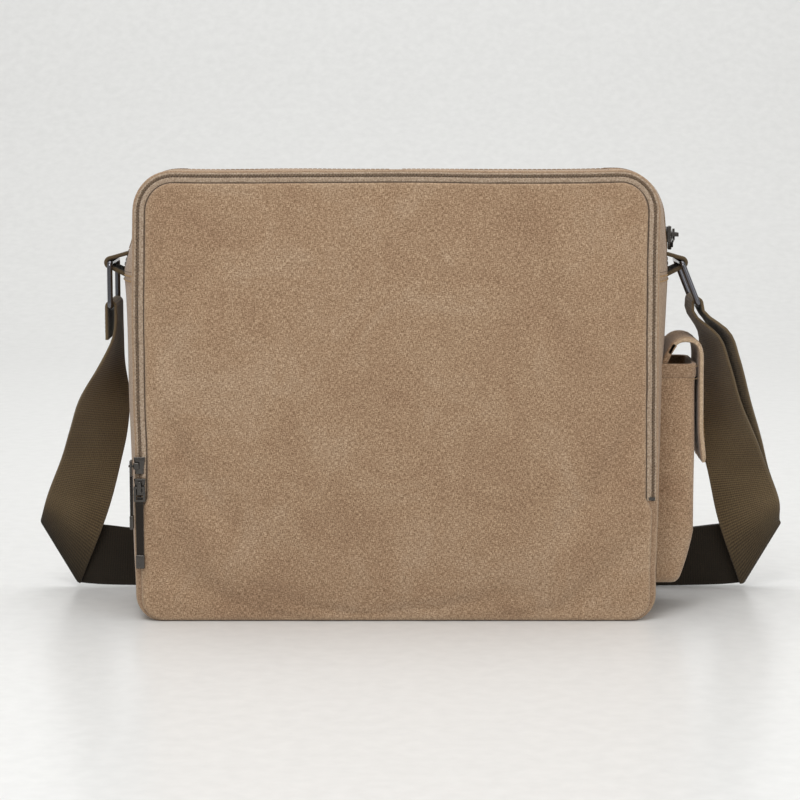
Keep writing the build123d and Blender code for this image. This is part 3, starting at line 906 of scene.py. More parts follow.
@dataclass
class Panel:
    """A soft upright panel with rounded corners: a crowned face whose edges roll in."""

    name: str
    half: float
    low: float
    high: float
    radii: tuple[float, float]
    face: float
    back: float
    crown: float = 2.0
    roll: float = 3.0
    pucker: float = 0.3
    seed: float = 0.0
    pitch: float = 6.0
    widen: Optional[Callable[[np.ndarray], np.ndarray]] = None
    sewn_rim: float = 0.4
    grid: np.ndarray = field(default_factory=lambda: np.zeros((0, 0, 3)))
    inset: np.ndarray = field(default_factory=lambda: np.zeros((0, 0)))

    def _places(self, length: float) -> np.ndarray:
        """Places along a length, closer together at both ends."""
        near = [0, 0.25, 0.7, 1.3, 2.1, 3.2, 4.6, 6.5, 9, 12.5, 17]
        near = [n for n in near if n < length * 0.4]
        count = max(int((length - 2 * near[-1]) / self.pitch), 2)
        middle = np.linspace(near[-1], length - near[-1], count + 1)[1:-1]
        return np.concatenate([near, middle, [length - n for n in reversed(near)]])

    def lay(self) -> "Panel":
        """Lays out the face's points.

        Returns:
            The panel itself.
        """
        rows = self.low + self._places(self.high - self.low)
        shares = self._places(2 * self.half) / self.half - 1
        z = np.repeat(rows[:, None], len(shares), axis=1)
        radius_low, radius_high = self.radii
        low_in = np.clip(self.low + radius_low - rows, 0, radius_low)
        high_in = np.clip(rows - self.high + radius_high, 0, radius_high)
        reach = self.half - (radius_low - np.sqrt(np.maximum(radius_low**2 - low_in**2, 0)))
        reach -= radius_high - np.sqrt(np.maximum(radius_high**2 - high_in**2, 0))
        x = shares[None, :] * reach[:, None]
        d = edge_distance(x, z, self.half, self.low, self.high, self.radii)
        if self.widen is not None:
            x = x * (1 + self.widen(rows)[:, None] / self.half)
        depth = abs(self.back - self.face) - self.sewn_rim
        way = math.copysign(1, self.face - self.back)
        in_roll = 1 - np.minimum(d, self.roll) / self.roll
        rolled = depth * (1 - np.sqrt(np.maximum(1 - in_roll**2, 0)))
        middle, tall = (self.low + self.high) / 2, (self.high - self.low) / 2
        bow = (1 - (x / self.half) ** 4) * (1 - np.abs((z - middle) / tall) ** 3)
        points = np.stack([x, np.full_like(x, self.face), z], axis=-1)
        wave = 0.5 * ruffle(points, 70, self.seed) + 0.2 * ruffle(points, 28, self.seed + 5)
        tight = np.exp(-d / 9) * (1 - np.exp(-d / 1.5))
        gather = self.pucker * ruffle(points, 9, self.seed + 9) * tight * 2
        fade = 1 - np.exp(-d / 26)
        out = self.crown * np.maximum(bow, 0) * fade + wave * fade + gather - rolled
        points[..., 1] = self.face + way * out
        self.grid, self.inset = points, d
        return self

    def settle(self, frames: int = 20, cap: float = 2.5) -> "Panel":
        """Lets the face settle as cloth that is held at its seam and filled from behind.

        Args:
            frames: How many steps it takes.
            cap: The furthest that a point may move, in millimetres.

        Returns:
            The panel itself.
        """
        rows, columns = self.grid.shape[:2]
        uv = np.zeros((rows, columns, 2))
        skin = Skin(f"{self.name}_trial")
        skin.add_grid(self.grid, uv)
        trial = skin.build()
        held = trial.vertex_groups.new(name="held")
        for index, distance in enumerate(self.inset.reshape(-1)):
            if distance < 3.5:
                held.add([index], 1.0, "REPLACE")
        cloth = trial.modifiers.new("Cloth", "CLOTH")
        cloth.settings.quality = 4
        cloth.settings.mass = 0.35
        cloth.settings.tension_stiffness = 25
        cloth.settings.compression_stiffness = 25
        cloth.settings.bending_stiffness = 1.5
        cloth.settings.vertex_group_mass = "held"
        cloth.settings.shrink_min = -0.012
        cloth.settings.use_pressure = True
        way = math.copysign(1, self.face - self.back)
        cloth.settings.uniform_pressure_force = 0.6 * -way
        cloth.settings.effector_weights.gravity = 0.15
        cloth.collision_settings.use_collision = False
        cloth.point_cache.frame_start, cloth.point_cache.frame_end = 1, frames
        for step in range(1, frames + 1):
            bpy.context.scene.frame_set(step)
        only(trial)
        bpy.ops.object.modifier_apply(modifier=cloth.name)
        moved = np.zeros(len(trial.data.vertices) * 3)
        trial.data.vertices.foreach_get("co", moved)
        moved = moved.reshape(rows, columns, 3) / MM
        shift = moved - self.grid
        length = np.linalg.norm(shift, axis=-1, keepdims=True)
        free = (1 - np.exp(-self.inset / 12))[..., None]
        self.grid = self.grid + free * shift * np.minimum(1, cap / np.maximum(length, 1e-6))
        bpy.data.objects.remove(trial)
        bpy.context.scene.frame_set(1)
        return self

    def make(self) -> bpy.types.Object:
        """Makes the closed panel.

        Returns:
            The piece.
        """
        inner = self.grid.copy()
        way = math.copysign(1, self.face - self.back)
        inner[..., 1] = self.back
        uv = self.grid[..., (0, 2)]
        wear_and_shade = 0.3 * np.exp(-self.inset / 2.0)
        return shell(self.name, self.grid, inner, uv, wear_and_shade, outward=(0, way, 0))


# ---------------------------------------------------------------- front and back


@dataclass
class FrontAndBack:
    """The front cover with its foot, the back panel and the two pipings."""

    finishes: Finishes
    outline: Outline
    fold: float = 79.0
    face: float = -51.0
    panel_back: float = -48.6
    half_panel: float = 161.3
    half_foot: float = 165.6
    panel_top: float = 280.9
    back_face: float = 47.9
    half_depth: float = 45.5

    def _foot_widening(self, rows: np.ndarray) -> np.ndarray:
        """How much wider the panel is below the fold, where no zip runs beside it."""
        share = np.clip((self.fold + 1.5 - rows) / 7, 0, 1)
        return (self.half_foot - self.half_panel) * share * share * (3 - 2 * share)

    def front_canvas(self) -> bpy.types.Object:
        """The front panel, in one from the base to the top, wider below the fold."""
        radii = (14.0, 18.5)
        panel = Panel(
            "front_canvas", self.half_panel, 0.3, self.panel_top, radii, self.face, self.panel_back,
            crown=3.4, roll=2.3, pucker=0.55, seed=3.1, pitch=4.5, widen=self._foot_widening
        ).lay()
        panel.settle()
        piece = panel.make()
        dress(piece, self.finishes.canvas, replaces=("front_foot_panel", "front_cover_panel"))
        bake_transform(piece)
        return piece

    def front_lining(self) -> bpy.types.Object:
        """The lining on the inside of the front panel."""
        panel = Panel(
            "front_lining", 153.5, 3.2, 273.5, (12.0, 14.0), self.panel_back + 0.8,
            self.panel_back + 0.2, crown=0.0, roll=1.0, pucker=0.1, sewn_rim=0.2, seed=8.0,
            pitch=9.0
        ).lay()
        panel.grid[..., 1] = self.panel_back + 0.75
        piece = panel.make()
        dress(
            piece, self.finishes.lining,
            replaces=("front_foot_lining", "front_cover_lining")
        )
        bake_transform(piece)
        return piece

    def back_canvas(self) -> bpy.types.Object:
        """The back panel, which hangs a little slack."""
        panel = Panel(
            "back_canvas", self.outline.half_width - 0.4, 0.6, self.outline.height - 0.4,
            (16.6, 25.6), self.back_face, self.half_depth, crown=2.6, roll=2.6, pucker=0.5,
            seed=17.0, pitch=5.5
        ).lay()
        panel.settle()
        piece = panel.make()
        dress(piece, self.finishes.canvas, "bag", ("back_panel",))
        return piece

    def piping(self, face: Face) -> bpy.types.Object:
        """A folded canvas piping round the whole edge.

        Args:
            face: Which edge of the gusset it is on.

        Returns:
            The piece.
        """
        rows = self.outline.spaced(self.outline.whole(), 3.0)[:-1]
        if face is Face.FRONT:
            centre_y, tall, name = -47.0, 1.5, "front_edge_piping"
        else:
            centre_y, tall, name = 47.6, 1.9, "back_edge_piping"
        skin = Skin(f"{face.word}_piping")
        count = 10
        angles = np.linspace(0, 2 * math.pi, count, endpoint=False)
        places = np.stack([rows[:, 0], np.full(len(rows), 0.0), rows[:, 1]], axis=-1)
        uneven = 0.16 * ruffle(places, 14, 2.0)
        grid = np.zeros((len(rows), count, 3))
        for k, angle in enumerate(angles):
            out = (1.15 + uneven) * math.cos(angle)
            grid[:, k, 0] = rows[:, 0] + rows[:, 2] * out
            grid[:, k, 2] = np.maximum(rows[:, 1] + rows[:, 3] * out, 0.0)
            grid[:, k, 1] = centre_y + tall * math.sin(angle)
        closed = np.concatenate([grid, grid[:1]])
        uv = np.zeros((len(closed), count + 1, 2))
        uv[..., 0] = np.append(rows[:, 4], rows[-1, 4] + 3)[:, None]
        uv[..., 1] = np.linspace(0, 9, count + 1)[None, :]
        first = skin.add_points(grid, np.full((len(grid), count), 0.4))
        total = len(grid)
        for i in range(total):
            for j in range(count):
                k, n = (j + 1) % count, (i + 1) % total
                loop = [first + i * count + j, first + i * count + k]
                loop += [first + n * count + k, first + n * count + j]
                places = [uv[i, j], uv[i, j + 1], uv[i + 1, j + 1], uv[i + 1, j]]
                skin.add_face(loop, places)
        piece = skin.build()
        return dress(piece, self.finishes.edge_canvas, "bag", (name,))

    def build(self) -> None:
        """Makes every piece."""
        self.front_canvas()
        self.front_lining()
        self.back_canvas()
        for face in Face:
            self.piping(face)


# ---------------------------------------------------------------- the front zip


@dataclass
class FrontZip:
    """The zip round the front cover: a tape and a row of teeth on each half."""

    finishes: Finishes
    outline: Outline
    foot: float = 79.4
    teeth_inset: float = 2.5
    teeth_pitch: float = 2.0
    teeth_y: float = -48.75

    def band(
        self, name: str, run: np.ndarray, section: Sequence[tuple[float, float]], wave: float = 0.0
    ) -> bpy.types.Object:
        """A band along a run of the outline.

        Args:
            name: The piece's name.
            run: Rows from Outline.spaced.
            section: Its section's corners, each an inset and a depth.
            wave: How much its edges wander, in millimetres.

        Returns:
            The piece, closed at both ends.
        """
        skin = Skin(name)
        count = len(section)
        places = np.stack([run[:, 0], run[:, 0] * 0, run[:, 1]], axis=-1)
        wander = wave * ruffle(places, 16, 4.0)
        grid = np.zeros((len(run), count, 3))
        for k, (inset, y) in enumerate(section):
            grid[:, k, 0] = run[:, 0] - run[:, 2] * (inset + wander)
            grid[:, k, 2] = run[:, 1] - run[:, 3] * (inset + wander)
            grid[:, k, 1] = y
        uv = np.zeros((len(run), count + 1, 2))
        uv[..., 0] = run[:, 4][:, None]
        ring = [*section, section[0]]
        lengths = [math.dist(a, b) for a, b in zip(ring[:-1], ring[1:])]
        uv[..., 1] = np.concatenate([[0], np.cumsum(lengths)])[None, :]
        first = skin.add_grid(grid, uv, wrap=True, turned=True)
        last = first + (len(run) - 1) * count
        skin.add_face([first + k for k in range(count)], [(0, k) for k in range(count)])
        skin.add_face([last + count - 1 - k for k in range(count)], [(0, k) for k in range(count)])
        return skin.build(35)

    def teeth(self, name: str, run: np.ndarray, way: int, start: float) -> bpy.types.Object:
        """One row of moulded teeth, each a short bead that narrows where it meets the other row.

        Args:
            name: The piece's name.
            run: Rows from Outline.spaced.
            way: 1 where the row is inside the teeth's line, and -1 where it is outside.
            start: How far along the first tooth is.

        Returns:
            The piece.
        """
        skin = Skin(name)
        along = np.arange(start, run[-1, 4] - 1, self.teeth_pitch)
        columns = [np.interp(along, run[:, 4], run[:, k]) for k in range(4)]
        for x, z, nx, nz in zip(*columns):
            out = np.array((nx, 0.0, nz))
            side = np.array((nz, 0.0, -nx))
            base = np.array((x, self.teeth_y, z)) - out * self.teeth_inset
            points = []
            for reach, half, thick in ((0.95, 0.5, 0.5), (0.2, 0.62, 0.72), (-0.4, 0.35, 0.45)):
                for a, b in ((-1, -1), (1, -1), (1, 1), (-1, 1)):
                    points.append(base - out * way * reach + side * half * a + UP_Y * thick * b)
            first = skin.add_points(np.array(points))
            for ring in range(2):
                for k in range(4):
                    m = (k + 1) % 4
                    loop = [first + ring * 4 + k, first + ring * 4 + m]
                    loop += [first + ring * 4 + 4 + m, first + ring * 4 + 4 + k]
                    skin.add_face(loop if way < 0 else loop[::-1], [(0, 0)] * 4)
            ends = [[first + 3 - k for k in range(4)], [first + 8 + k for k in range(4)]]
            for loop in ends:
                skin.add_face(loop if way < 0 else loop[::-1], [(0, 0)] * 4)
        return skin.build(30)

    def build(self) -> None:
        """Makes the tapes, the seam's painted shadow, the foot's welt and the teeth."""
        run = self.outline.spaced(self.outline.cover_run(self.foot), 2.5)
        cover_section = ((3.1, -48.6), (3.6, -49.2), (4.8, -49.6), (6.4, -49.2), (12.5, -48.5))
        cover_section += ((12.5, -48.0), (3.1, -48.0))
        tape = self.band("cover_zip_tape", run, cover_section, 0.12)
        dress(tape, self.finishes.tape, "front_cover", ("front_zip_cover_tape",))
        bag_section = ((0.3, -48.5), (0.9, -48.95), (1.6, -48.9), (2.0, -48.5), (2.0, -47.9))
        bag_section += ((0.3, -47.9),)
        tape = self.band("bag_zip_tape", run, bag_section)
        dress(tape, self.finishes.tape, "bag")
        # Painted shade: a thin band in dark thread colour along the groove between the front panel and its
        # zip tape, where shadow falls.
        seam_shadow_section = ((6.3, -48.6), (6.4, -49.4), (6.9, -49.8), (7.5, -49.5), (7.7, -48.6))
        seam = self.band("cover_seam_shadow", run, seam_shadow_section, 0.3)
        dress(seam, self.finishes.dark_thread, "front_cover")
        under = self.outline.spaced(self.outline.base_run(self.foot - 0.2), 3.0)
        welt_section = ((0.2, -48.4), (1.4, -49.1), (7.0, -48.9), (7.0, -47.8), (0.2, -47.8))
        welt = self.band("foot_welt", under, welt_section)
        dress(welt, self.finishes.edge_canvas, "bag")
        cover = self.teeth("cover_zip_teeth", run, 1, 2.0)
        dress(cover, self.finishes.coil, "front_cover", ("front_zip_cover_coil",))
        bag = self.teeth("bag_zip_teeth", run, -1, 3.0)
        dress(bag, self.finishes.coil, "bag", ("front_zip_bag_coil",))


# ---------------------------------------------------------------- gussets and mouth


@dataclass
class Gusset:
    """The side walls, base and zipped top: one bowed strip of canvas round the bag."""

    finishes: Finishes
    outline: Outline
    half_depth: float = 45.4
    cloth: float = 2.2
    seam_height: float = 226.0
    side_bulge: float = 10.5
    low_bulge: float = 4.0
    top_bulge: float = 5.0
    mouth_half: float = 137.0

    def bulge(self, x: float, z: float, nx: float) -> float:
        """How far the gusset stands out at mid depth, at a point of the outline."""
        if z < self.outline.bottom_radius:
            share = max(z / self.outline.bottom_radius, 0)
            return self.low_bulge * 1.12 * share * abs(nx)
        if z < self.seam_height:
            return self.low_bulge + (self.side_bulge - self.low_bulge) * z / self.seam_height
        rise = min((z - self.seam_height) / (self.outline.height - self.seam_height), 1)
        full = self.side_bulge + (self.top_bulge - self.side_bulge) * rise
        if x > 0:
            return full
        pinch = 3.2 * math.sin(math.pi * min(rise * 1.15, 1)) ** 2 + 1.8 * abs(nx) * min(rise * 3, 1)
        return full - pinch * 0.9

    def surface(self, run: np.ndarray, places: np.ndarray, lift: float = 0.0) -> np.ndarray:
        """Points on the gusset's outside.

        Args:
            run: Rows from Outline.spaced.
            places: Depths across it, in millimetres.
            lift: How far above the surface.

        Returns:
            Rows by places by 3.
        """
        grid = np.zeros((len(run), len(places), 3))
        crown = np.array([self.bulge(*row[:3]) for row in run])
        share = 1 - (places / self.half_depth) ** 2
        out = crown[:, None] * share[None, :] + lift
        grid[..., 0] = run[:, 0][:, None] + run[:, 2][:, None] * out
        grid[..., 1] = places[None, :]
        grid[..., 2] = run[:, 1][:, None] + run[:, 3][:, None] * out
        return grid

    def wall(self, name: str, run: np.ndarray, replaces: Sequence[str]) -> bpy.types.Object:
        """One length of gusset with slack, puckered seams.

        Args:
            name: The piece's name.
            run: Rows from Outline.spaced.
            replaces: The CAD nodes that it stands for.

        Returns:
            The piece.
        """
        share = np.linspace(-1, 1, 25)
        places = self.half_depth * np.sign(share) * (1 - (1 - np.abs(share)) ** 1.35)
        outer = self.surface(run, places)
        middle = 1 - (places / self.half_depth) ** 2
        high = np.clip(outer[..., 2] / 25, 0, 1) * np.clip(
            0.05 + np.abs(outer[..., 2] - self.seam_height) / 16, 0, 1
        )
        slack = 1.1 * ruffle(outer * (1, 1, 0.6), 45, 11.0) * middle
        seam = 0.45 * ruffle(outer, 8, 21.0) * np.exp(-(self.half_depth - np.abs(places)) / 7)
        move = (slack + seam * middle**0.3) * high
        way = np.stack([run[:, 2], run[:, 2] * 0, run[:, 3]], axis=-1)[:, None, :]
        outer = outer + way * move[..., None]
        inner = outer - way * self.cloth
        uv = np.zeros((len(run), len(places), 2))
        uv[..., 0] = run[:, 4][:, None]
        uv[..., 1] = places[None, :]
        edge = np.abs(np.abs(places) - self.half_depth)
        wear_and_shade = np.repeat((0.5 * np.exp(-edge / 3))[None, :], len(run), axis=0)
        piece = shell(name, outer, inner, uv, wear_and_shade)
        dress(piece, self.finishes.canvas, "bag", replaces)
        return piece

    def corner_run(self, hand: Hand) -> np.ndarray:
        """The run from the side's seam over the corner to the mouth's end."""
        run = self.outline.spaced(self.outline.cover_run(self.seam_height + 0.3), 3.0)
        if hand is Hand.RIGHT:
            run = run[::-1].copy()
            run[:, 4] = run[0, 4] - run[:, 4]
        end = np.argmax(np.abs(run[:, 0]) < self.mouth_half + 0.2)
        run = run[:end].copy()
        last = run[-1].copy()
        last[0] = hand.value * (self.mouth_half + 0.2)
        last[4] += 1
        return np.vstack([run, last])

    def corner_zip(self, hand: Hand) -> None:
        """The closed end of the main zip: its tape and teeth, down the corner to the tab."""
        run = self.corner_run(hand)
        run = run[run[:, 1] > 239.0]
        half = 7.0
        places = np.array([-half, -4, -1.8, 0, 1.8, 4, half])
        outer = self.surface(run, places, 0.6)
        inner = self.surface(run, places, 0.15)
        uv = np.zeros((len(run), len(places), 2))
        uv[..., 0], uv[..., 1] = run[:, 4][:, None], places[None, :]
        tape = shell(f"corner_zip_tape_{hand.word}", outer, inner, uv)
        node = f"main_zip_end_tape_{hand.word}"
        dress(tape, self.finishes.tape, "bag", (node,))
        teeth = mouth_teeth(
            f"corner_zip_teeth_{hand.word}", self.surface(run, np.array([0.0]), 0.7)[:, 0],
            np.stack([run[:, 2], run[:, 2] * 0, run[:, 3]], axis=-1), (-1, 1)
        )
        node = f"main_zip_end_coil_{hand.word}"
        dress(teeth, self.finishes.coil, "bag", (node,))

    def seams(self) -> None:
        """The double rows of tan thread across the sides, and the topstitching by the zip."""
        lines = []
        places = np.linspace(-self.half_depth + 1, self.half_depth - 1, 40)
        for offset in (0.0, 3.2):
            height = self.seam_height - 2.2 - offset
            for hand in Hand:
                row = np.array([[hand.value * self.outline.half_width, height, hand.value, 0, 0]])
                points = self.surface(row, places, 0.25)[0]
                out = np.tile((hand.value, 0.0, 0.0), (len(points), 1))
                lines.append((points, out))
        stitches = spindle_stitches("side_seam_stitches", lines, 3.0, 0.42)
        dress(stitches, self.finishes.thread, "bag")
        lines = []
        for hand in Hand:
            run = self.corner_run(hand)
            for y in (-9.5, 9.5):
                points = self.surface(run, np.array([y]), 0.15)[:, 0]
                out = np.stack([run[:, 2], run[:, 2] * 0, run[:, 3]], axis=-1)
                lines.append((points, out))
        corner = spindle_stitches("corner_zip_stitches", lines, 3.0, 0.38)
        dress(corner, self.finishes.tonal_thread, "bag")

    def build(self) -> None:
        """Makes every piece."""
        run = self.outline.spaced(self.outline.base_run(self.seam_height), 4.0)
        self.wall("base_and_sides", run, ("side_gusset_left", "side_gusset_right", "base_gusset"))
        for hand in Hand:
            node = f"corner_gusset_{hand.word}"
            self.wall(f"corner_canvas_{hand.word}", self.corner_run(hand), (node,))
            self.corner_zip(hand)
        self.seams()


def mouth_teeth(
    name: str, line: np.ndarray, out: np.ndarray, sides: Sequence[int], pitch: float = 2.0
) -> bpy.types.Object:
    """Teeth along a line, on one side of it or on both.

    Args:
        name: The piece's name.
        line: The line's points, in millimetres.
        out: The way out of the cloth at each.
        sides: -1 for the front row and 1 for the rear row.
        pitch: From one tooth to the next in a row.

    Returns:
        The piece.
    """
    skin = Skin(name)
    both = np.concatenate([line, out], axis=1)
    for side in sides:
        fine = resample(both, pitch)
        if side > 0:
            fine = (fine[:-1] + fine[1:]) / 2
        ways = unit(np.gradient(fine[:, :3], axis=0))
        for row, way in zip(fine, ways):
            up = unit(row[3:])
            points = []
            for reach, half, thick in ((1.3, 0.5, 0.5), (0.2, 0.62, 0.68), (-0.4, 0.35, 0.45)):
                for a, b in ((-1, -1), (1, -1), (1, 1), (-1, 1)):
                    place = row[:3] + UP_Y * side * reach + way * half * a + up * thick * b
                    points.append(place)
            first = skin.add_points(np.array(points))
            flip = float(np.cross(way, up) @ (UP_Y * side)) < 0
            loops = []
            for ring in range(2):
                for k in range(4):
                    m = (k + 1) % 4
                    loop = [first + ring * 4 + k, first + ring * 4 + m]
                    loops.append(loop + [first + ring * 4 + 4 + m, first + ring * 4 + 4 + k])
            loops.append([first + 3 - k for k in range(4)])
            loops.append([first + 8 + k for k in range(4)])
            for loop in loops:
                skin.add_face(loop if flip else loop[::-1], [(0, 0)] * 4)
    return skin.build(30)


@dataclass
class Mouth:
    """The part of the top that opens: canvas, tape and teeth, in four quarters."""

    finishes: Finishes
    half_length: float = 137.0
    half_depth: float = 45.3
    bulge: float = 5.0
    height: float = 288.0
    cloth: float = 2.2

    def _grid(self, xs: np.ndarray, ys: np.ndarray, lift: float) -> np.ndarray:
        """Points over the top at some lift above its surface."""
        grid = np.zeros((len(xs), len(ys), 3))
        grid[..., 0] = xs[:, None]
        grid[..., 1] = ys[None, :]
        grid[..., 2] = self.height + self.bulge * (1 - (ys[None, :] / 45.5) ** 2) + lift
        return grid

    def _bend(self, piece: bpy.types.Object) -> None:
        """Bakes a piece's placement into its mesh."""
        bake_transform(piece)

    def quarter(self, hand: Hand, face: Face) -> None:
        """Makes a quarter of the mouth: its canvas, tape, stitches and teeth.

        Args:
            hand: Left or right.
            face: Front or rear.
        """
        word = f"{face.word}_{hand.word}"
        xs = hand.value * np.linspace(0.0, self.half_length, 36)
        ys = face.value * np.array([6.2, 6.5, 7.5, 10, 14, 19, 25, 31, 36, 40, 43, 44.4, 44.9])
        outer = self._grid(xs, ys, 0.0)
        middle = (1 - (ys / 45.5) ** 2)[None, :] ** 0.5
        outer[..., 2] += 0.5 * ruffle(outer * (1, 0.8, 1), 30, 31.0) * middle
        outer[:, 0, 2] -= 0.7
        outer[:, 1, 2] -= 0.25
        outer[:, 1:3, 2] += 0.25
        inner = outer.copy()
        inner[..., 2] -= self.cloth
        inner[:, -4:, 2] = outer[:, -4:, 2] - np.array((1.8, 1.2, 0.8, 0.5))
        inner[:, 0, 2] = outer[:, 0, 2] - 0.8
        uv = outer[..., :2].copy()
        nodes = (f"mouth_strip_{face.word}",)
        canvas = shell(f"mouth_canvas_{word}", outer, inner, uv, outward=(0, 0, 1))
        dress(canvas, self.finishes.canvas, replaces=nodes)
        self._bend(canvas)
        ys = face.value * np.array([1.4, 2.5, 4.0, 6.0, 8.5])
        outer = self._grid(xs, ys, -0.7)
        outer[:, 3:, 2] -= 1.0
        inner = outer - np.array((0, 0, 0.6))
        tape = shell(f"mouth_tape_{word}", outer, inner, outer[..., :2], outward=(0, 0, 1))
        dress(tape, self.finishes.tape)
        self._bend(tape)
        line = self._grid(hand.value * np.linspace(0.5, self.half_length - 0.5, 60), np.array([0.0]), 0.2)
        out = np.tile(UP, (60, 1))
        teeth = mouth_teeth(f"mouth_teeth_{word}", line[:, 0], out, (face.value,))
        dress(teeth, self.finishes.coil, replaces=(f"main_zip_coil_{face.word}",))
        self._bend(teeth)
        lines = []
        for y in (8.6, 43.0):
            row = self._grid(xs[1:], np.array([face.value * y]), 0.3)[:, 0]
            lines.append((row, np.tile(UP, (len(row), 1))))
        thread = spindle_stitches(f"mouth_stitches_{word}", lines, 3.2, 0.36)
        dress(thread, self.finishes.tonal_thread)
        self._bend(thread)

    def build(self) -> None:
        """Makes the four quarters."""
        for hand in Hand:
            for face in Face:
                self.quarter(hand, face)


# ---------------------------------------------------------------- inside


@dataclass
class Inside:
    """What shows when the bag is open: partition, pockets, lining, board and divider."""

    finishes: Finishes
    outline: Outline

    def panels(self) -> None:
        """The partition and the padded divider."""
        partition = Panel(
            "partition_panel", 164.2, 4.2, 283.8, (13.0, 22.0), -36.7, -33.7, crown=0.3, roll=1.4,
            pucker=0.1, seed=41.0, pitch=9.0
        ).lay()
        piece = dress(partition.make(), self.finishes.lining, "bag", ("front_partition",))
        divider = Panel(
            "divider_pad", 145.0, 7.4, 224.8, (3.0, 6.0), 24.7, 29.4, crown=0.4, roll=2.4,
            pucker=0.15, seed=51.0, pitch=9.0
        ).lay()
        divider.settle(12, 0.8)
        piece = dress(divider.make(), self.finishes.lining, "bag", ("laptop_divider",))

    def pockets(self) -> None:
        """The organiser pocket and the pen sleeves, sewn to the front of the partition."""
        low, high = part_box("organiser_pocket")
        pocket = self._pouch("organiser_cloth", low / MM, high / MM, 1.1)
        dress(pocket, self.finishes.lining, "bag", ("organiser_pocket",))
        low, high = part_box("pen_sleeves")
        pitch = (high.x - low.x) / 2.8
        for number in range(3):
            left = Vector((low.x + pitch * number, low.y, low.z)) / MM
            right = Vector((low.x + pitch * (number + 0.8), high.y, high.z)) / MM
            sleeve = self._pouch(f"pen_sleeve_{number + 1}", left, right, 1.1)
            nodes = ("pen_sleeves",) if number == 0 else ()
            dress(sleeve, self.finishes.lining, "bag", nodes)

    def _pouch(
        self, name: str, low: Sequence[float], high: Sequence[float], thick: float
    ) -> bpy.types.Object:
        """A flat pouch with a hemmed top, a little slack in its middle.

        Args:
            name: The piece's name.
            low: Its lowest corner, in millimetres.
            high: Its highest corner.
            thick: How thick the cloth and its seam are.

        Returns:
            The piece.
        """
        xs = np.linspace(low[0], high[0], 22)
        zs = np.linspace(low[2], high[2], 18)
        grid = np.zeros((len(zs), len(xs), 3))
        grid[..., 0], grid[..., 2] = xs[None, :], zs[:, None]
        grid[..., 1] = high[1] - thick
        slack = np.sin(np.linspace(0, math.pi, len(xs)))[None, :] * np.linspace(0, 1, len(zs))[:, None]
        grid[..., 1] -= 0.8 * slack + 0.2 * ruffle(grid, 20, 61.0)
        grid[-2:, :, 1] -= 0.3
        inner = grid.copy()
        inner[..., 1] = np.minimum(high[1], grid[..., 1] + thick)
        return shell(name, grid, inner, grid[..., (0, 2)], outward=(0, -1, 0))

    def lining(self) -> None:
        """The lining round the main compartment, and the base board on it."""
        run = self.outline.spaced(self.outline.base_run(225.7), 6.0)
        places = np.linspace(-33.3, 45.1, 12)
        grids = []
        for inset in (3.85, 4.4):
            grid = np.zeros((len(run), len(places), 3))
            grid[..., 0] = (run[:, 0] - run[:, 2] * inset)[:, None]
            grid[..., 1] = places[None, :]
            grid[..., 2] = (run[:, 1] - run[:, 3] * inset)[:, None]
            grids.append(grid)
        uv = np.zeros((len(run), len(places), 2))
        uv[..., 0], uv[..., 1] = run[:, 4][:, None], places[None, :]
        piece = shell("main_lining_cloth", grids[1], grids[0], uv)
        dress(piece, self.finishes.lining, "bag", ("main_lining",))
        dress_node("base_board", self.finishes.board)

    def build(self) -> None:
        """Makes every piece."""
        self.panels()
        self.pockets()
        self.lining()


def dress_node(name: str, material: bpy.types.Material) -> None:
    """Gives a CAD node a finish, and leaves its shape as it is."""
    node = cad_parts[name]
    node.data.materials.clear()
    node.data.materials.append(material)
    LOG.info("dressed %s", name)


# ---------------------------------------------------------------- webbing


@dataclass
class Ribbon:
    """A length of webbing through pairs of edge points, with crisp selvedges."""

    name: str
    pairs: np.ndarray
    thickness: float = 2.0
    width: float = 40.0

    def make(self) -> tuple[bpy.types.Object, float]:
        """Makes the closed ribbon.

        Returns:
            The piece, and its length in millimetres.
        """
        left, right = self.pairs[:, :3], self.pairs[:, 3:6]
        centre = (left + right) / 2
        steps = np.linalg.norm(np.diff(centre, axis=0), axis=1)
        along = np.concatenate([[0], np.cumsum(steps)])
        across = unit(right - left)
        tangent = unit(np.gradient(centre, axis=0))
        normal = unit(np.cross(across, tangent))
        shares = np.array([0, 0.012, 0.05, 0.2, 0.35, 0.5, 0.65, 0.8, 0.95, 0.988, 1.0])
        half = self.thickness / 2 * np.array([0.55, 0.9, 1, 1, 1, 1, 1, 1, 1, 0.9, 0.55])
        middle = left[:, None] + (right - left)[:, None] * shares[None, :, None]
        outer = middle + normal[:, None] * half[None, :, None]
        inner = middle - normal[:, None] * half[None, :, None]
        uv = np.zeros((len(centre), len(shares), 2))
        uv[..., 0] = along[:, None]
        uv[..., 1] = shares[None, :] * self.width
        # Painted shade: darkens the strap's low run behind the bag, rising from y 52 to 60 mm and from 60 mm
        # high down to 40 mm, up to 0.93.
        low = np.clip((centre[:, 1] - 52) / 8, 0, 1) * np.clip((60 - centre[:, 2]) / 20, 0, 1)
        wear_and_shade = np.repeat(0.93 * low[:, None], len(shares), axis=1)
        return shell(self.name, outer, inner, uv, wear_and_shade), float(along[-1])


def pair(centre: Sequence[float], across: Sequence[float], width: float = 40.0) -> np.ndarray:
    """A pair of edge points from their middle and the way across."""
    way = unit(np.array(across, float))
    middle = np.array(centre, float)
    return np.concatenate([middle - way * width / 2, middle + way * width / 2])


def turn_about(
    centre: np.ndarray, out: np.ndarray, side: np.ndarray, radius: float, steps: int = 9
) -> list[np.ndarray]:
    """Middles round a half turn.

    Args:
        centre: The turn's centre.
        out: The way that the turn bulges.
        side: The way from the centre to where the turn ends.
        radius: Its radius.
        steps: How many middles.

    Returns:
        The middles, from the side's far end to its near one.
    """
    angles = np.linspace(0, math.pi, steps)
    return [centre + radius * (out * math.sin(a) - side * math.cos(a)) for a in angles]


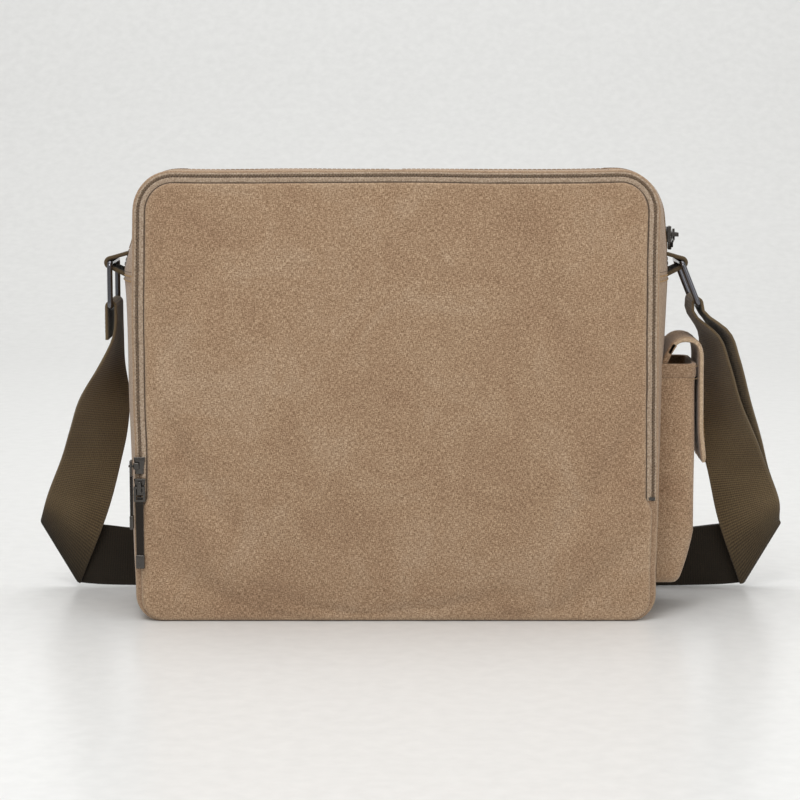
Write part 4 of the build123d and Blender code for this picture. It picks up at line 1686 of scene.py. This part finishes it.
@dataclass
class Strap:
    """The shoulder strap: a sewn end, folds at the floor and runs behind the bag."""

    finishes: Finishes
    run_y: float = 61.9
    layer: float = 2.3
    left_bar: tuple[float, float] = (-186.5, 202.9)
    right_bar: tuple[float, float] = (197.2, 205.0)
    turn: float = 3.0
    low_crease: tuple[float, float] = (-14.0, 48.0)

    def _crease(self, x: float, hand: Hand) -> tuple[np.ndarray, np.ndarray, np.ndarray]:
        """The middle of a crease, the way up it, and the way out from it."""
        low_x, tall = self.low_crease
        up = unit(np.array((hand.value * -2 * low_x, 0.0, tall)))
        out = np.array((hand.value * up[2], 0.0, -hand.value * up[0]))
        return np.array((x, 0.0, 25.2)), up, out

    def _fold(self, x: float, hand: Hand, front: float, back: float) -> np.ndarray:
        """Edge pairs round a crease, from the drop's side to the run's."""
        middle, up, out = self._crease(x, hand)
        centre = middle + UP_Y * (front + back) / 2
        radius = (back - front) / 2
        stations = turn_about(centre, out * 0.6, UP_Y, radius)
        widths = 52.5 - 3.0 * np.sin(np.linspace(0, math.pi, len(stations)))
        return np.array([pair(c, -up, w) for c, w in zip(stations, widths)])

    def _run(self, hand: Hand, x: float, y: float, middle_end: list[tuple]) -> np.ndarray:
        """Edge pairs of a run, from just past the crease to the adjuster."""
        side = hand.value
        rows = [
            (x - side * 26, y, 22.6, 42.5), (x - side * 55, y + 0.5, 20.6, 40.2),
            (side * 120, y + 0.4, 20.1, 40.0), (side * 60, y, 21.0, 40.0)
        ]
        pairs = [pair((a, b, c), (0, 0, -1), w) for a, b, c, w in rows]
        pairs += [pair((a, b, c), (0, 0, -1), 40.0) for a, b, c in middle_end]
        return np.array(pairs)

    def _drop(self, rows: Sequence[tuple]) -> np.ndarray:
        """Edge pairs of a drop from middles, ways across and widths."""
        return np.array([pair(middle, across, width) for middle, across, width in rows])

    def left(self) -> tuple[bpy.types.Object, float]:
        """The left half: from the sewn end round the ring, down, and back to the adjuster."""
        x, z = self.left_bar
        back_way = (0, -1, 0)
        leg = [pair((x - 3, 0, h), back_way) for h in np.linspace(181, z, 8)]
        arc = turn_about(np.array((x, 0, z)), UP, np.array((1.0, 0, 0)), self.turn)
        over = [pair(c, back_way) for c in arc[1:-1]]
        drop_rows = [
            ((x + 3, 0, z), back_way, 40), ((x + 3, 0, 193), back_way, 40),
            ((x + 2.2, 0.3, 182), (-0.05, -1, 0), 40), ((x - 2.6, 4, 163), (-0.3, -0.93, 0), 40),
            ((-195, 12, 140), (-0.75, -0.66, 0), 40), ((-201, 26, 116), (-0.95, -0.36, 0.02), 40),
            ((-207.5, 39, 95), (-1, -0.17, 0.05), 40.5), ((-219, 52, 62), (-0.93, -0.05, 0.30), 43),
            ((-233, 59.5, 25.2), (-0.504, 0, 0.864), 52.5)
        ]
        drop = curve_through(self._drop(drop_rows), 5.0)
        fold = self._fold(-233.0, Hand.LEFT, 59.5, self.run_y)
        fold = np.concatenate([fold[:, 3:6], fold[:, 0:3]], axis=1)
        if np.linalg.norm(fold[0, :3] - drop[-1, :3]) > np.linalg.norm(fold[0, 3:] - drop[-1, :3]):
            fold = np.concatenate([fold[:, 3:6], fold[:, 0:3]], axis=1)
        near = [(-35, 61.9, 22.6), (-22, 60.2, 23.2), (-12, 58.6, 23.2), (0, 58.4, 23.2)]
        near += [(10, 58.5, 23.2)]
        run = self._run(Hand.LEFT, -233.0, self.run_y, near)
        first = fold[-1]
        keep = np.vstack([first[None], run])
        if np.linalg.norm(keep[0, :3] - keep[1, :3]) > np.linalg.norm(keep[0, :3] - keep[1, 3:]):
            keep[1:] = np.concatenate([keep[1:, 3:6], keep[1:, 0:3]], axis=1)
        level = curve_through(keep, 6.0)
        pairs = np.concatenate([leg, over, drop, fold[1:-1], level])
        return Ribbon("strap_left", pairs).make()

    def right(self) -> tuple[bpy.types.Object, float]:
        """The right half: round the right ring, with both its layers back to the adjuster."""
        x, z = self.right_bar
        t = self.turn
        back_way = (0, -1, 0)
        inner_rows = [
            ((x - t, 0, z), back_way, 40), ((x - t + 0.4, 0, 198), (0.02, -1, 0), 40),
            ((207.5, 4.5, 183), (0.22, -0.97, 0), 40), ((213.0, 14, 164), (0.38, -0.92, 0), 40),
            ((218.5, 25, 135), (0.62, -0.78, 0), 40), ((226, 38, 108), (0.92, -0.38, 0), 40),
            ((234, 47, 85), (1, -0.14, 0.05), 40.5), ((243, 53, 56), (0.9, -0.05, 0.32), 44),
            ((252, 57.3, 25.2), (0.504, 0, 0.864), 52.5)
        ]
        outer_rows = [
            ((x + t, 0, z), back_way, 40), ((x + t + 1.2, 0, 199), (0.02, -1, 0), 40),
            ((214.0, 4.0, 186), (0.22, -0.97, 0), 40), ((219.5, 13, 167), (0.38, -0.92, 0), 40),
            ((225.5, 29, 135), (0.62, -0.78, 0), 40), ((230, 42.5, 108), (0.92, -0.38, 0), 40),
            ((235.5, 50.8, 85), (1, -0.12, 0.05), 40.5), ((243.5, 56, 56), (0.9, -0.04, 0.32), 44),
            ((252.5, 59.6, 25.2), (0.504, 0, 0.864), 52.5)
        ]
        inner = curve_through(self._drop(inner_rows), 5.0)
        outer = curve_through(self._drop(outer_rows), 5.0)
        arc = turn_about(np.array((x, 0, z)), UP, np.array((1.0, 0, 0)), t)
        over = np.array([pair(c, back_way) for c in arc[1:-1]])
        folds, runs = [], []
        for crease_x, front, back, near in (
            (252.0, 57.3, 64.2, [(30, 64.2, 22.6), (14, 65.2, 23.2), (3, 65.3, 23.2)]),
            (252.5, 59.6, 61.9, [(35, 61.9, 22.6), (24, 61.0, 23.2), (13.5, 60.8, 23.2)])
        ):
            fold = self._fold(crease_x, Hand.RIGHT, front, back)
            drop = inner if front < 58 else outer
            gap = np.linalg.norm(fold[0, :3] - drop[-1, :3])
            if gap > np.linalg.norm(fold[0, 3:] - drop[-1, :3]):
                fold = np.concatenate([fold[:, 3:6], fold[:, 0:3]], axis=1)
            run = self._run(Hand.RIGHT, crease_x, back, near)
            keep = np.vstack([fold[-1][None], run])
            gap = np.linalg.norm(keep[0, :3] - keep[1, :3])
            if gap > np.linalg.norm(keep[0, :3] - keep[1, 3:]):
                keep[1:] = np.concatenate([keep[1:, 3:6], keep[1:, 0:3]], axis=1)
            folds.append(fold)
            runs.append(curve_through(keep, 6.0))
        bar = np.array((0.0, 62.9, 23.2))
        wrap = turn_about(bar, np.array((-1.0, 0, 0)), np.array((0, -1.0, 0)), 2.3)
        wrap = np.array([pair(c, (0, 0, -1)) for c in wrap])
        tail = np.array([pair((6.0, 60.6, 23.2), (0, 0, -1)), pair((9.5, 60.5, 23.2), (0, 0, -1))])
        ends = np.concatenate([wrap, tail])
        if np.linalg.norm(ends[0, :3] - runs[0][-1, :3]) > 20:
            ends = np.concatenate([ends[:, 3:6], ends[:, 0:3]], axis=1)
        pairs = np.concatenate(
            [
                ends[::-1],
                runs[0][::-1],
                folds[0][1:-1][::-1],
                inner[::-1],
                over,
                outer,
                folds[1][1:-1],
                runs[1],
            ]
        )
        return Ribbon("strap_right", pairs).make()

    def tabs(self) -> None:
        """The webbing loops that hold the rings' top bars to the sides."""
        for hand in Hand:
            side = hand.value
            top = np.array((side * 186.5, 0.0, 231.5))
            arc = turn_about(top, np.array((side, 0.0, 0)), np.array((0.0, 0, -1)), 3.0, 11)
            upper = np.array((side * 174.5, 0.0, 231.5 + 6.5))
            lower = np.array((side * 174.5, 0.0, 231.5 - 9.0))
            middles = [*resample(np.array([upper, arc[0]]), 2.5)[:-1], *arc]
            middles += [*resample(np.array([arc[-1], lower]), 2.5)[1:]]
            pairs = np.array([pair(c, (0, 1, 0), 38.0) for c in middles])
            piece, length = Ribbon(f"tab_loop_{hand.word}", pairs, 2.6, 38.0).make()
            dress(piece, self.finishes.tab_webbing, "bag", (f"tab_{hand.word}",))

    def stitches(self) -> None:
        """The box of thread that closes the sewn end, on one side of the strap."""
        x = self.left_bar[0]
        for face, sign in ((x - 4.05, -1),):
            lines = []
            corners = [(-16, 185), (16, 185), (16, 198), (-16, 198), (-16, 185), (16, 198)]
            corners += [(16, 185), (-16, 198)]
            points = np.array([(face, y, z) for y, z in corners], float)
            out = np.tile((float(sign), 0.0, 0.0), (len(points), 1))
            lines.append((points, out))
            piece = spindle_stitches("sewn_end_stitches", lines, 2.8, 0.4)
            dress(piece, self.finishes.dark_thread, "ring_left")

    def build(self) -> None:
        """Makes the two halves of the strap, the tabs and the stitches."""
        piece, length = self.left()
        nodes = ("strap_sewn_end", "strap_drop_left", "strap_run_left")
        dress(piece, self.finishes.webbing, replaces=nodes)
        LOG.info("left strap is %.0f mm long", length)
        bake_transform(piece)
        piece, length = self.right()
        nodes = (
            "strap_ring_turn", "strap_drop_right_inner", "strap_drop_right_outer",
            "strap_run_right_inner", "strap_run_right_outer"
        )
        dress(piece, self.finishes.webbing, replaces=nodes)
        LOG.info("right strap is %.0f mm long", length)
        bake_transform(piece)
        self.tabs()
        self.stitches()


# ---------------------------------------------------------------- phone pocket


@dataclass
class PhonePocket:
    """The pocket on the right side, its bound mouth, its flap and the loop patch."""

    finishes: Finishes
    gusset: Gusset
    half: float = 27.0
    face: float = 196.0
    foot: float = 20.0
    mouth: float = 166.0
    taper: float = 35.0
    taper_depth: float = 9.0
    cloth: float = 1.8
    corner: float = 7.0

    def _section(self, z: float, grow: float = 0.0) -> np.ndarray:
        """The pocket's outline at a height, from the gusset's front round to its back."""
        out = self.face + grow
        if z < self.foot + self.taper:
            share = (z - self.foot) / self.taper
            out -= self.taper_depth * (1 - share) ** 1.2
        half = self.half + grow
        root_half = half
        r = self.corner
        crown = 168.5 + self.gusset.bulge(168.5, max(z, 18), 1) * (1 - (root_half / 45.5) ** 2)
        root = crown - 1.5
        line = [(x, -half) for x in np.linspace(root, out - r, 7)]
        line += [
            (out - r + r * math.sin(a), -half + r - r * math.cos(a))
            for a in np.linspace(0, math.pi / 2, 8)[1:]
        ]
        line += [(out, y) for y in np.linspace(-half + r, half - r, 13)[1:-1]]
        line += [
            (out - r + r * math.cos(a), half - r + r * math.sin(a))
            for a in np.linspace(0, math.pi / 2, 8)
        ]
        line += [(x, half) for x in np.linspace(out - r, root, 7)[1:]]
        return np.array([(x, y, z) for x, y in line])

    def body(self) -> None:
        """The pocket's cloth, from its foot to its mouth."""
        heights = np.concatenate(
            [[20.0, 20.3, 21.0, 22.2, 24, 27], np.linspace(31, 160, 28), [163, 165, 166]]
        )
        outer = np.array([self._section(z) for z in heights])
        middle = np.array((182.0, 0.0))
        for i, z in enumerate(heights):
            gain = (1 - min((z - self.foot) / 5, 1)) ** 2
            outer[i, :, :2] += (middle - outer[i, :, :2]) * gain * 0.18
            outer[i, :, 0] = np.maximum(outer[i, :, 0], 172.0)
        sag = ruffle(outer * (1, 1, 0.5), 26, 71.0)
        fade = np.clip((heights - 22) / 15, 0, 1) * np.clip((170 - heights) / 30, 0.2, 1)
        outer[..., 0] += 0.9 * sag * fade[:, None]
        bow = np.sin(np.clip((heights - 20) / 146, 0, 1) * math.pi)
        outer[..., 1] += np.sign(outer[..., 1]) * 0.5 * bow[:, None] * (outer[..., 0] > 178)
        normal = np.cross(np.gradient(outer, axis=1), np.gradient(outer, axis=0))
        normal = unit(normal)
        flat = normal * (1, 1, 0)
        flat = unit(flat)
        if flat[20, outer.shape[1] // 2, 0] < 0:
            flat = -flat
        inner = outer - flat * self.cloth
        uv = np.zeros(outer.shape[:2] + (2,))
        steps = np.linalg.norm(np.diff(outer[20], axis=0), axis=1)
        uv[..., 0] = np.concatenate([[0], np.cumsum(steps)])[None, :]
        uv[..., 1] = heights[:, None]
        wear_and_shade = 0.5 * np.exp(-np.minimum(heights - 20, 166 - heights) / 4)[:, None]
        wear_and_shade = np.repeat(wear_and_shade, outer.shape[1], axis=1)
        piece = shell("phone_pocket_canvas", outer, inner, uv, wear_and_shade, outward=(1, 0, 0))
        dress(piece, self.finishes.canvas, "bag", ("phone_pocket",))
        floor_rows = np.linspace(0, 1, 7)
        rim = outer[0]
        centre = rim.mean(axis=0)
        spread = np.array([centre + (rim - centre) * (1 - s * 0.97) for s in floor_rows])
        over = spread + np.array((0, 0, 1.8))
        floor_uv = spread[..., :2]
        sole = shell("phone_pocket_sole", spread, over, floor_uv, outward=(0, 0, -1))
        dress(sole, self.finishes.canvas, "bag")
        lines = []
        for z in (self.mouth - 9.8, self.mouth - 1.6):
            points = self._section(z, 1.6)[6:-6]
            away = unit((points - np.array((182.0, 0.0, z))) * (1, 1, 0))
            lines.append((points, away))
        thread = spindle_stitches("phone_pocket_stitches", lines, 3.0, 0.36)
        dress(thread, self.finishes.tonal_thread, "bag")

    def binding(self) -> None:
        """The folded binding round the mouth."""
        heights = np.array([156.9, 157.1, 158, 161, 164.5, 165.7, 166.2])
        swell = np.array([0.2, 0.45, 0.7, 0.8, 0.75, 0.6, 0.3])
        outer = np.array([self._section(z, g) for z, g in zip(heights, swell)])
        inner = np.array([self._section(z, 0.15) for z in heights])
        uv = np.zeros(outer.shape[:2] + (2,))
        steps = np.linalg.norm(np.diff(outer[2], axis=0), axis=1)
        uv[..., 0] = np.concatenate([[0], np.cumsum(steps)])[None, :]
        uv[..., 1] = heights[:, None]
        piece = shell("phone_pocket_mouth", outer, inner, uv, outward=(1, 0, 0))
        dress(piece, self.finishes.edge_canvas, "bag", ("phone_pocket_binding",))

    def flap(self) -> None:
        """The padded flap, with its root and a double row of stitches round its edge."""
        line = np.array(
            [
                (178.9, 0, 172.6),
                (182.2, 0, 178.6),
                (187.0, 0, 181.3),
                (193.0, 0, 181.2),
                (197.2, 0, 179.0),
                (199.4, 0, 174.0),
                (199.9, 0, 160.0),
                (200.1, 0, 138.0),
                (201.0, 0, 118.0),
                (202.7, 0, 100.0),
            ]
        )
        path = curve_through(line, 2.6)
        tangent = unit(np.gradient(path, axis=0))
        normal = np.cross(tangent, UP_Y)
        if normal[len(path) // 2, 0] < 0:
            normal = -normal
        places = 24 * np.array([-1, -0.985, -0.94, -0.85, -0.7, -0.4, 0, 0.4, 0.7, 0.85, 0.94, 0.985, 1])
        steps = np.linalg.norm(np.diff(path, axis=0), axis=1)
        along = np.concatenate([[0], np.cumsum(steps)])
        to_side = 24 - np.abs(places)
        to_tip = along[-1] - along
        d = np.minimum(to_side[None, :], to_tip[:, None])
        half = 0.9 + 0.75 * (1 - np.exp(-d / 1.2)) + 0.35 * np.exp(-(((d - 5.5) / 3) ** 2))
        dent = 0.5 * (np.exp(-(((d - 2.6) / 0.7) ** 2)) + np.exp(-(((d - 5.0) / 0.7) ** 2)))
        half = half - dent * 0.6
        corner = np.clip(8 - to_tip, 0, 8) / 8
        width = 1 - 0.14 * corner**2
        base = np.zeros((len(path), len(places), 3))
        base[..., 0], base[..., 2] = path[:, 0][:, None], path[:, 2][:, None]
        base[..., 1] = places[None, :] * width[:, None]
        bend = 0.5 * ruffle(base, 22, 81.0) * np.clip(along / 30, 0, 1)[:, None]
        outer = base + normal[:, None] * (half + bend)[..., None]
        inner = base - normal[:, None] * (half - bend)[..., None]
        uv = np.zeros(base.shape[:2] + (2,))
        uv[..., 0], uv[..., 1] = along[:, None], places[None, :]
        wear_and_shade = 0.8 * np.exp(-d / 1.6)
        piece = shell("pocket_flap_canvas", outer, inner, uv, wear_and_shade, outward=(1, 0, 0))
        dress(piece, self.finishes.canvas, "flap", ("pocket_flap",))
        lines = []
        for inset in (2.6, 5.2):
            reach = 24 - inset
            stop = int(np.argmin(np.abs(to_tip - inset)))
            down = path[5 : stop + 1]
            ways = normal[5 : stop + 1]
            surface = 1.35
            side_a = down + ways * surface + UP_Y * -reach
            tip = np.array([path[stop] + normal[stop] * surface + UP_Y * y for y in (-reach, reach)])
            side_b = (down + ways * surface + UP_Y * reach)[::-1]
            points = np.concatenate([side_a, resample(tip, 3)[1:-1], side_b])
            out = np.concatenate([ways, np.tile(normal[stop], (len(points) - 2 * len(ways), 1)), ways[::-1]])
            lines.append((points, out))
        thread = spindle_stitches("pocket_flap_stitches", lines, 3.0, 0.38)
        dress(thread, self.finishes.thread, "flap")
        root = np.array([(175.5, 0, 165.0), (177.9, 0, 171.0), (180.0, 0, 175.0), (182.2, 0, 178.4)])
        strip = curve_through(root, 1.5)
        pairs = np.array([pair(c, (0, 1, 0), 48.0) for c in strip])
        piece, _ = Ribbon("pocket_flap_root", pairs, 4.0, 48.0).make()
        dress(piece, self.finishes.canvas, "bag", ("pocket_flap_seam",))

    def loop_patch(self) -> None:
        """The fastener's loop half, sewn on the pocket's face under the flap's tip."""
        low, high = (np.array(corner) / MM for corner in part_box("pocket_loop_patch"))
        ys, zs = np.linspace(low[1], high[1], 15), np.linspace(low[2], high[2], 13)
        outer = np.zeros((len(zs), len(ys), 3))
        outer[..., 1], outer[..., 2] = ys[None, :], zs[:, None]
        edge = np.minimum(ys - low[1], high[1] - ys)[None, :]
        edge = np.minimum(edge, np.minimum(zs - low[2], high[2] - zs)[:, None])
        outer[..., 0] = high[0] - 0.5 * np.exp(-edge / 1.2) + 0.12 * ruffle(outer, 2.0, 5.0)
        inner = outer.copy()
        inner[..., 0] = low[0]
        piece = shell("loop_patch_pile", outer, inner, outer[..., 1:], outward=(1, 0, 0))
        dress(piece, self.finishes.loop, "bag", ("pocket_loop_patch",))

    def build(self) -> None:
        """Makes every piece."""
        self.body()
        self.binding()
        self.flap()
        self.loop_patch()


# ---------------------------------------------------------------- metal


def block(
    name: str, centre: Sequence[float], size: Sequence[float], bevel: float, taper: float = 1.0
) -> bpy.types.Object:
    """A small bevelled casting, narrower at its foot where it tapers.

    Args:
        name: The piece's name.
        centre: Its middle, in millimetres.
        size: Its three sizes, in millimetres.
        bevel: How far its edges are rounded.
        taper: Its foot's width as a share of its top's.

    Returns:
        The piece, at the origin, with its place in its mesh.
    """
    bpy.ops.object.select_all(action="DESELECT")
    bpy.ops.mesh.primitive_cube_add(size=1.0, location=[c * MM for c in centre])
    piece = bpy.context.object
    piece.name = piece.data.name = name
    piece.scale = [s * MM for s in size]
    bpy.ops.object.transform_apply(location=True, rotation=True, scale=True)
    bpy.ops.object.mode_set(mode="EDIT")
    bpy.ops.mesh.select_all(action="SELECT")
    bpy.ops.mesh.subdivide(number_cuts=3)
    bpy.ops.object.mode_set(mode="OBJECT")
    if taper != 1.0:
        middle = centre[2] * MM
        half = size[2] * MM / 2
        axis = 0 if size[0] >= size[1] else 1
        for vertex in piece.data.vertices:
            share = (middle + half - vertex.co.z) / (2 * half)
            waist = 1 - (1 - taper) * min(share * 1.6, 1)
            offset = vertex.co[axis] - centre[axis] * MM
            vertex.co[axis] = centre[axis] * MM + offset * waist
    if bevel:
        edge = piece.modifiers.new("Bevel", "BEVEL")
        edge.width = bevel * MM
        edge.segments = 3
        edge.limit_method = "ANGLE"
        bpy.ops.object.modifier_apply(modifier=edge.name)
    smooth(piece, 40)
    return piece


def joined(name: str, pieces: Sequence[bpy.types.Object]) -> bpy.types.Object:
    """Joins pieces into one, under a name."""
    bpy.ops.object.select_all(action="DESELECT")
    for piece in pieces:
        piece.select_set(True)
    bpy.context.view_layer.objects.active = pieces[0]
    bpy.ops.object.join()
    pieces[0].name = pieces[0].data.name = name
    return pieces[0]


@dataclass
class Metalwork:
    """Rings, sliders, pulls, stops and the adjuster."""

    finishes: Finishes

    def front_slider(self, node: str, body: str, bridge: bool) -> None:
        """A slider on the front zip: a tapered plate with a bridge or a side lug.

        Args:
            node: The CAD node that it stands for.
            body: The body that it rides on.
            bridge: True for a bridge, and False for a side lug and its pin.
        """
        low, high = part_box(node)
        z = (low.z + high.z) / 2 / MM
        x, front = -166.0, -49.2
        parts = [
            block("plate", (x, front - 0.75, z), (7.6, 1.5, 11.0), 0.6, 0.72),
            block("under", (x + 1.0, -46.4, z), (5.4, 1.1, 8.6), 0.3, 0.8),
            block("post", (x, -48.3, z + 3.3), (0.6, 2.4, 2.4), 0.1)
        ]
        if bridge:
            parts.append(block("arch", (x, front - 5.0, z), (2.6, 1.2, 7.4), 0.5))
            for step in (-3.0, 3.0):
                parts.append(block("foot", (x, front - 2.9, z + step), (2.6, 4.2, 1.2), 0.4))
        else:
            parts.append(block("lug", (x - 1.9, front - 2.9, z), (3.6, 3.2, 4.2), 0.5))
            parts.append(block("pin", (x - 5.2, front - 2.9, z), (3.4, 1.5, 1.5), 0.6))
        piece = joined(f"{node}_casting", parts)
        dress(piece, self.finishes.gunmetal, body, (node,))

    def main_slider(self) -> None:
        """The slider on the closed end of the main zip."""
        low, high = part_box("main_slider")
        z = (low.z + high.z) / 2 / MM
        x = high.x / MM
        parts = [
            block("plate", (x - 5.65, 0, z), (1.5, 7.8, 11.0), 0.6, 0.72),
            block("arch", (x - 0.55, 0, z), (1.1, 7.2, 2.6), 0.4)
        ]
        for step in (-3.0, 3.0):
            parts.append(block("foot", (x - 2.9, step, z), (4.2, 1.2, 2.6), 0.4))
            parts.append(block("flange", (x - 6.9, step * 0.92, z), (1.4, 1.9, 10.0), 0.3))
        piece = joined("main_slider_casting", parts)
        dress(piece, self.finishes.gunmetal, "slider_main", ("main_slider",))

    def tongue(self, pull: str, thick_axis: int) -> None:
        """A pull's woven tongue and its metal tip.

        Args:
            pull: The pull's name.
            thick_axis: 0 where it is thin along x, and 1 along y.
        """
        body = "pull_" + pull.split("_")[0]
        low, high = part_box(f"{pull}_tongue")
        centre = [(a + b) / 2 / MM for a, b in zip(low, high)]
        size = [(b - a) / MM for a, b in zip(low, high)]
        size[1 - thick_axis] *= 0.82
        piece = block(f"{pull}_tape", centre, size, 0.7)
        piece.data.uv_layers.active.name = "UVMap"
        dress(piece, self.finishes.pull_cord, body, (f"{pull}_tongue",))
        low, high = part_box(f"{pull}_tip")
        centre = [(a + b) / 2 / MM for a, b in zip(low, high)]
        size = [(b - a) / MM for a, b in zip(low, high)]
        size[thick_axis] += 0.1
        size[1 - thick_axis] *= 0.86
        tip = block(f"{pull}_cap", centre, size, 0.9)
        dress(tip, self.finishes.gunmetal, body, (f"{pull}_tip",))

    def build(self) -> None:
        """Makes every piece."""
        self.front_slider("front_slider_lower", "slider_lower", True)
        self.front_slider("front_slider_upper", "slider_upper", False)
        self.main_slider()
        self.tongue("lower_pull", 1)
        self.tongue("upper_pull", 0)
        self.tongue("main_pull", 0)
        for name in ("ring_left", "ring_right", "strap_adjuster"):
            dress_node(name, self.finishes.nickel)
        for name in ("lower_pull_link", "upper_pull_link", "main_pull_link", "front_zip_stops"):
            dress_node(name, self.finishes.gunmetal)


# ---------------------------------------------------------------- studio


@dataclass
class Studio:
    """A plain pale floor that curves up behind, soft lights and the camera."""

    lens: float = 112.6
    place: tuple[float, float, float] = (2.6, -1650.0, 356.0)
    pitch: float = 7.5

    def floor(self) -> None:
        """The floor and the backdrop, in one smooth sweep."""
        profile = [(-6.0, 0.0), (-3.0, 0.0), (-1.0, 0.0), (0.6, 0.0), (1.4, 0.0)]
        profile += [
            (1.4 + 1.2 * math.sin(a), 1.2 - 1.2 * math.cos(a))
            for a in np.linspace(0, math.pi / 2, 16)[1:]
        ]
        profile += [(2.6, 3.0), (2.6, 6.0)]
        grid = np.array([[(x, y, z - 0.0002) for x in (-6.0, -2.0, 0.0, 2.0, 6.0)] for y, z in profile])
        skin = Skin("studio_floor")
        skin.add_grid(grid / MM, np.zeros(grid.shape[:2] + (2,)), turned=False)
        floor = skin.build(80)
        material, tree = new_material("matt_studio_paper")
        place = add_node(tree, "ShaderNodeTexCoord").outputs["Object"]
        speck = add_node(
            tree, "ShaderNodeTexNoise", {"Vector": place, "Scale": 90.0, "Detail": 6.0}
        ).outputs["Fac"]
        ramp = add_node(tree, "ShaderNodeValToRGB", {"Fac": speck})
        set_stops(ramp, ((0.3, "#DEDEDD"), (0.7, "#E4E4E3")))
        shader = add_node(
            tree, "ShaderNodeBsdfPrincipled",
            {"Base Color": ramp.outputs[0], "Roughness": 0.28, "Specular IOR Level": 0.35}
        )
        finish_material(tree, shader.outputs[0])
        floor.data.materials.append(material)

    def light(
        self, name: str, place: Sequence[float], aim: Sequence[float], size: float, power: float
    ) -> None:
        """A square soft light, aimed at a point.

        Args:
            name: Its name.
            place: Where it hangs, in metres.
            aim: What it points at.
            size: Its side, in metres.
            power: Its power, in watts.
        """
        data = bpy.data.lights.new(name, "AREA")
        data.shape = "SQUARE"
        data.size = size
        data.energy = power
        lamp = bpy.data.objects.new(name, data)
        lamp.location = place
        way = Vector(aim) - Vector(place)
        lamp.rotation_mode = "QUATERNION"
        lamp.rotation_quaternion = way.to_track_quat("-Z", "Y")
        bpy.context.scene.collection.objects.link(lamp)

    def camera(self) -> None:
        """The camera, level from side to side and looking a little down."""
        data = bpy.data.cameras.new("camera")
        data.lens = self.lens
        data.sensor_width = 36.0
        camera = bpy.data.objects.new("camera", data)
        camera.location = [c * MM for c in self.place]
        camera.rotation_euler = (math.radians(90 - self.pitch), 0, 0)
        bpy.context.scene.collection.objects.link(camera)
        bpy.context.scene.camera = camera

    def build(self) -> None:
        """Makes the studio."""
        scene = bpy.context.scene
        scene.view_settings.view_transform = "Standard"
        world = bpy.data.worlds.new("studio_air")
        world.use_nodes = True
        tree = world.node_tree
        tree.nodes.clear()
        air = add_node(tree, "ShaderNodeBackground", {"Color": linear("#F2F2F0"), "Strength": 0.62})
        add_node(tree, "ShaderNodeOutputWorld", {"Surface": air.outputs[0]})
        scene.world = world
        self.floor()
        self.light("key", (-0.35, -1.15, 1.6), (0, 0, 0.2), 0.9, 14.8)
        self.light("fill", (1.6, -1.4, 0.9), (0, 0, 0.12), 1.6, 9.0)
        self.light("top", (0.0, 0.3, 2.2), (0, 0, 0.0), 2.0, 16.0)
        self.light("backdrop", (0.0, 0.7, 2.6), (0, 2.6, 0.9), 2.4, 20.5)
        self.camera()


def main() -> None:
    """Builds the studio, then the bag in order."""
    logging.basicConfig(level=logging.INFO, format="%(name)s: %(message)s")
    finishes = Finishes()
    outline = Outline()
    gusset = Gusset(finishes, outline)
    Studio().build()
    for part in (
        FrontAndBack(finishes, outline), FrontZip(finishes, outline), gusset, Mouth(finishes),
        Inside(finishes, outline), Strap(finishes), PhonePocket(finishes, gusset),
        Metalwork(finishes)
    ):
        LOG.info("building %s", type(part).__name__)
        part.build()


if __name__ == "__main__":
    main()
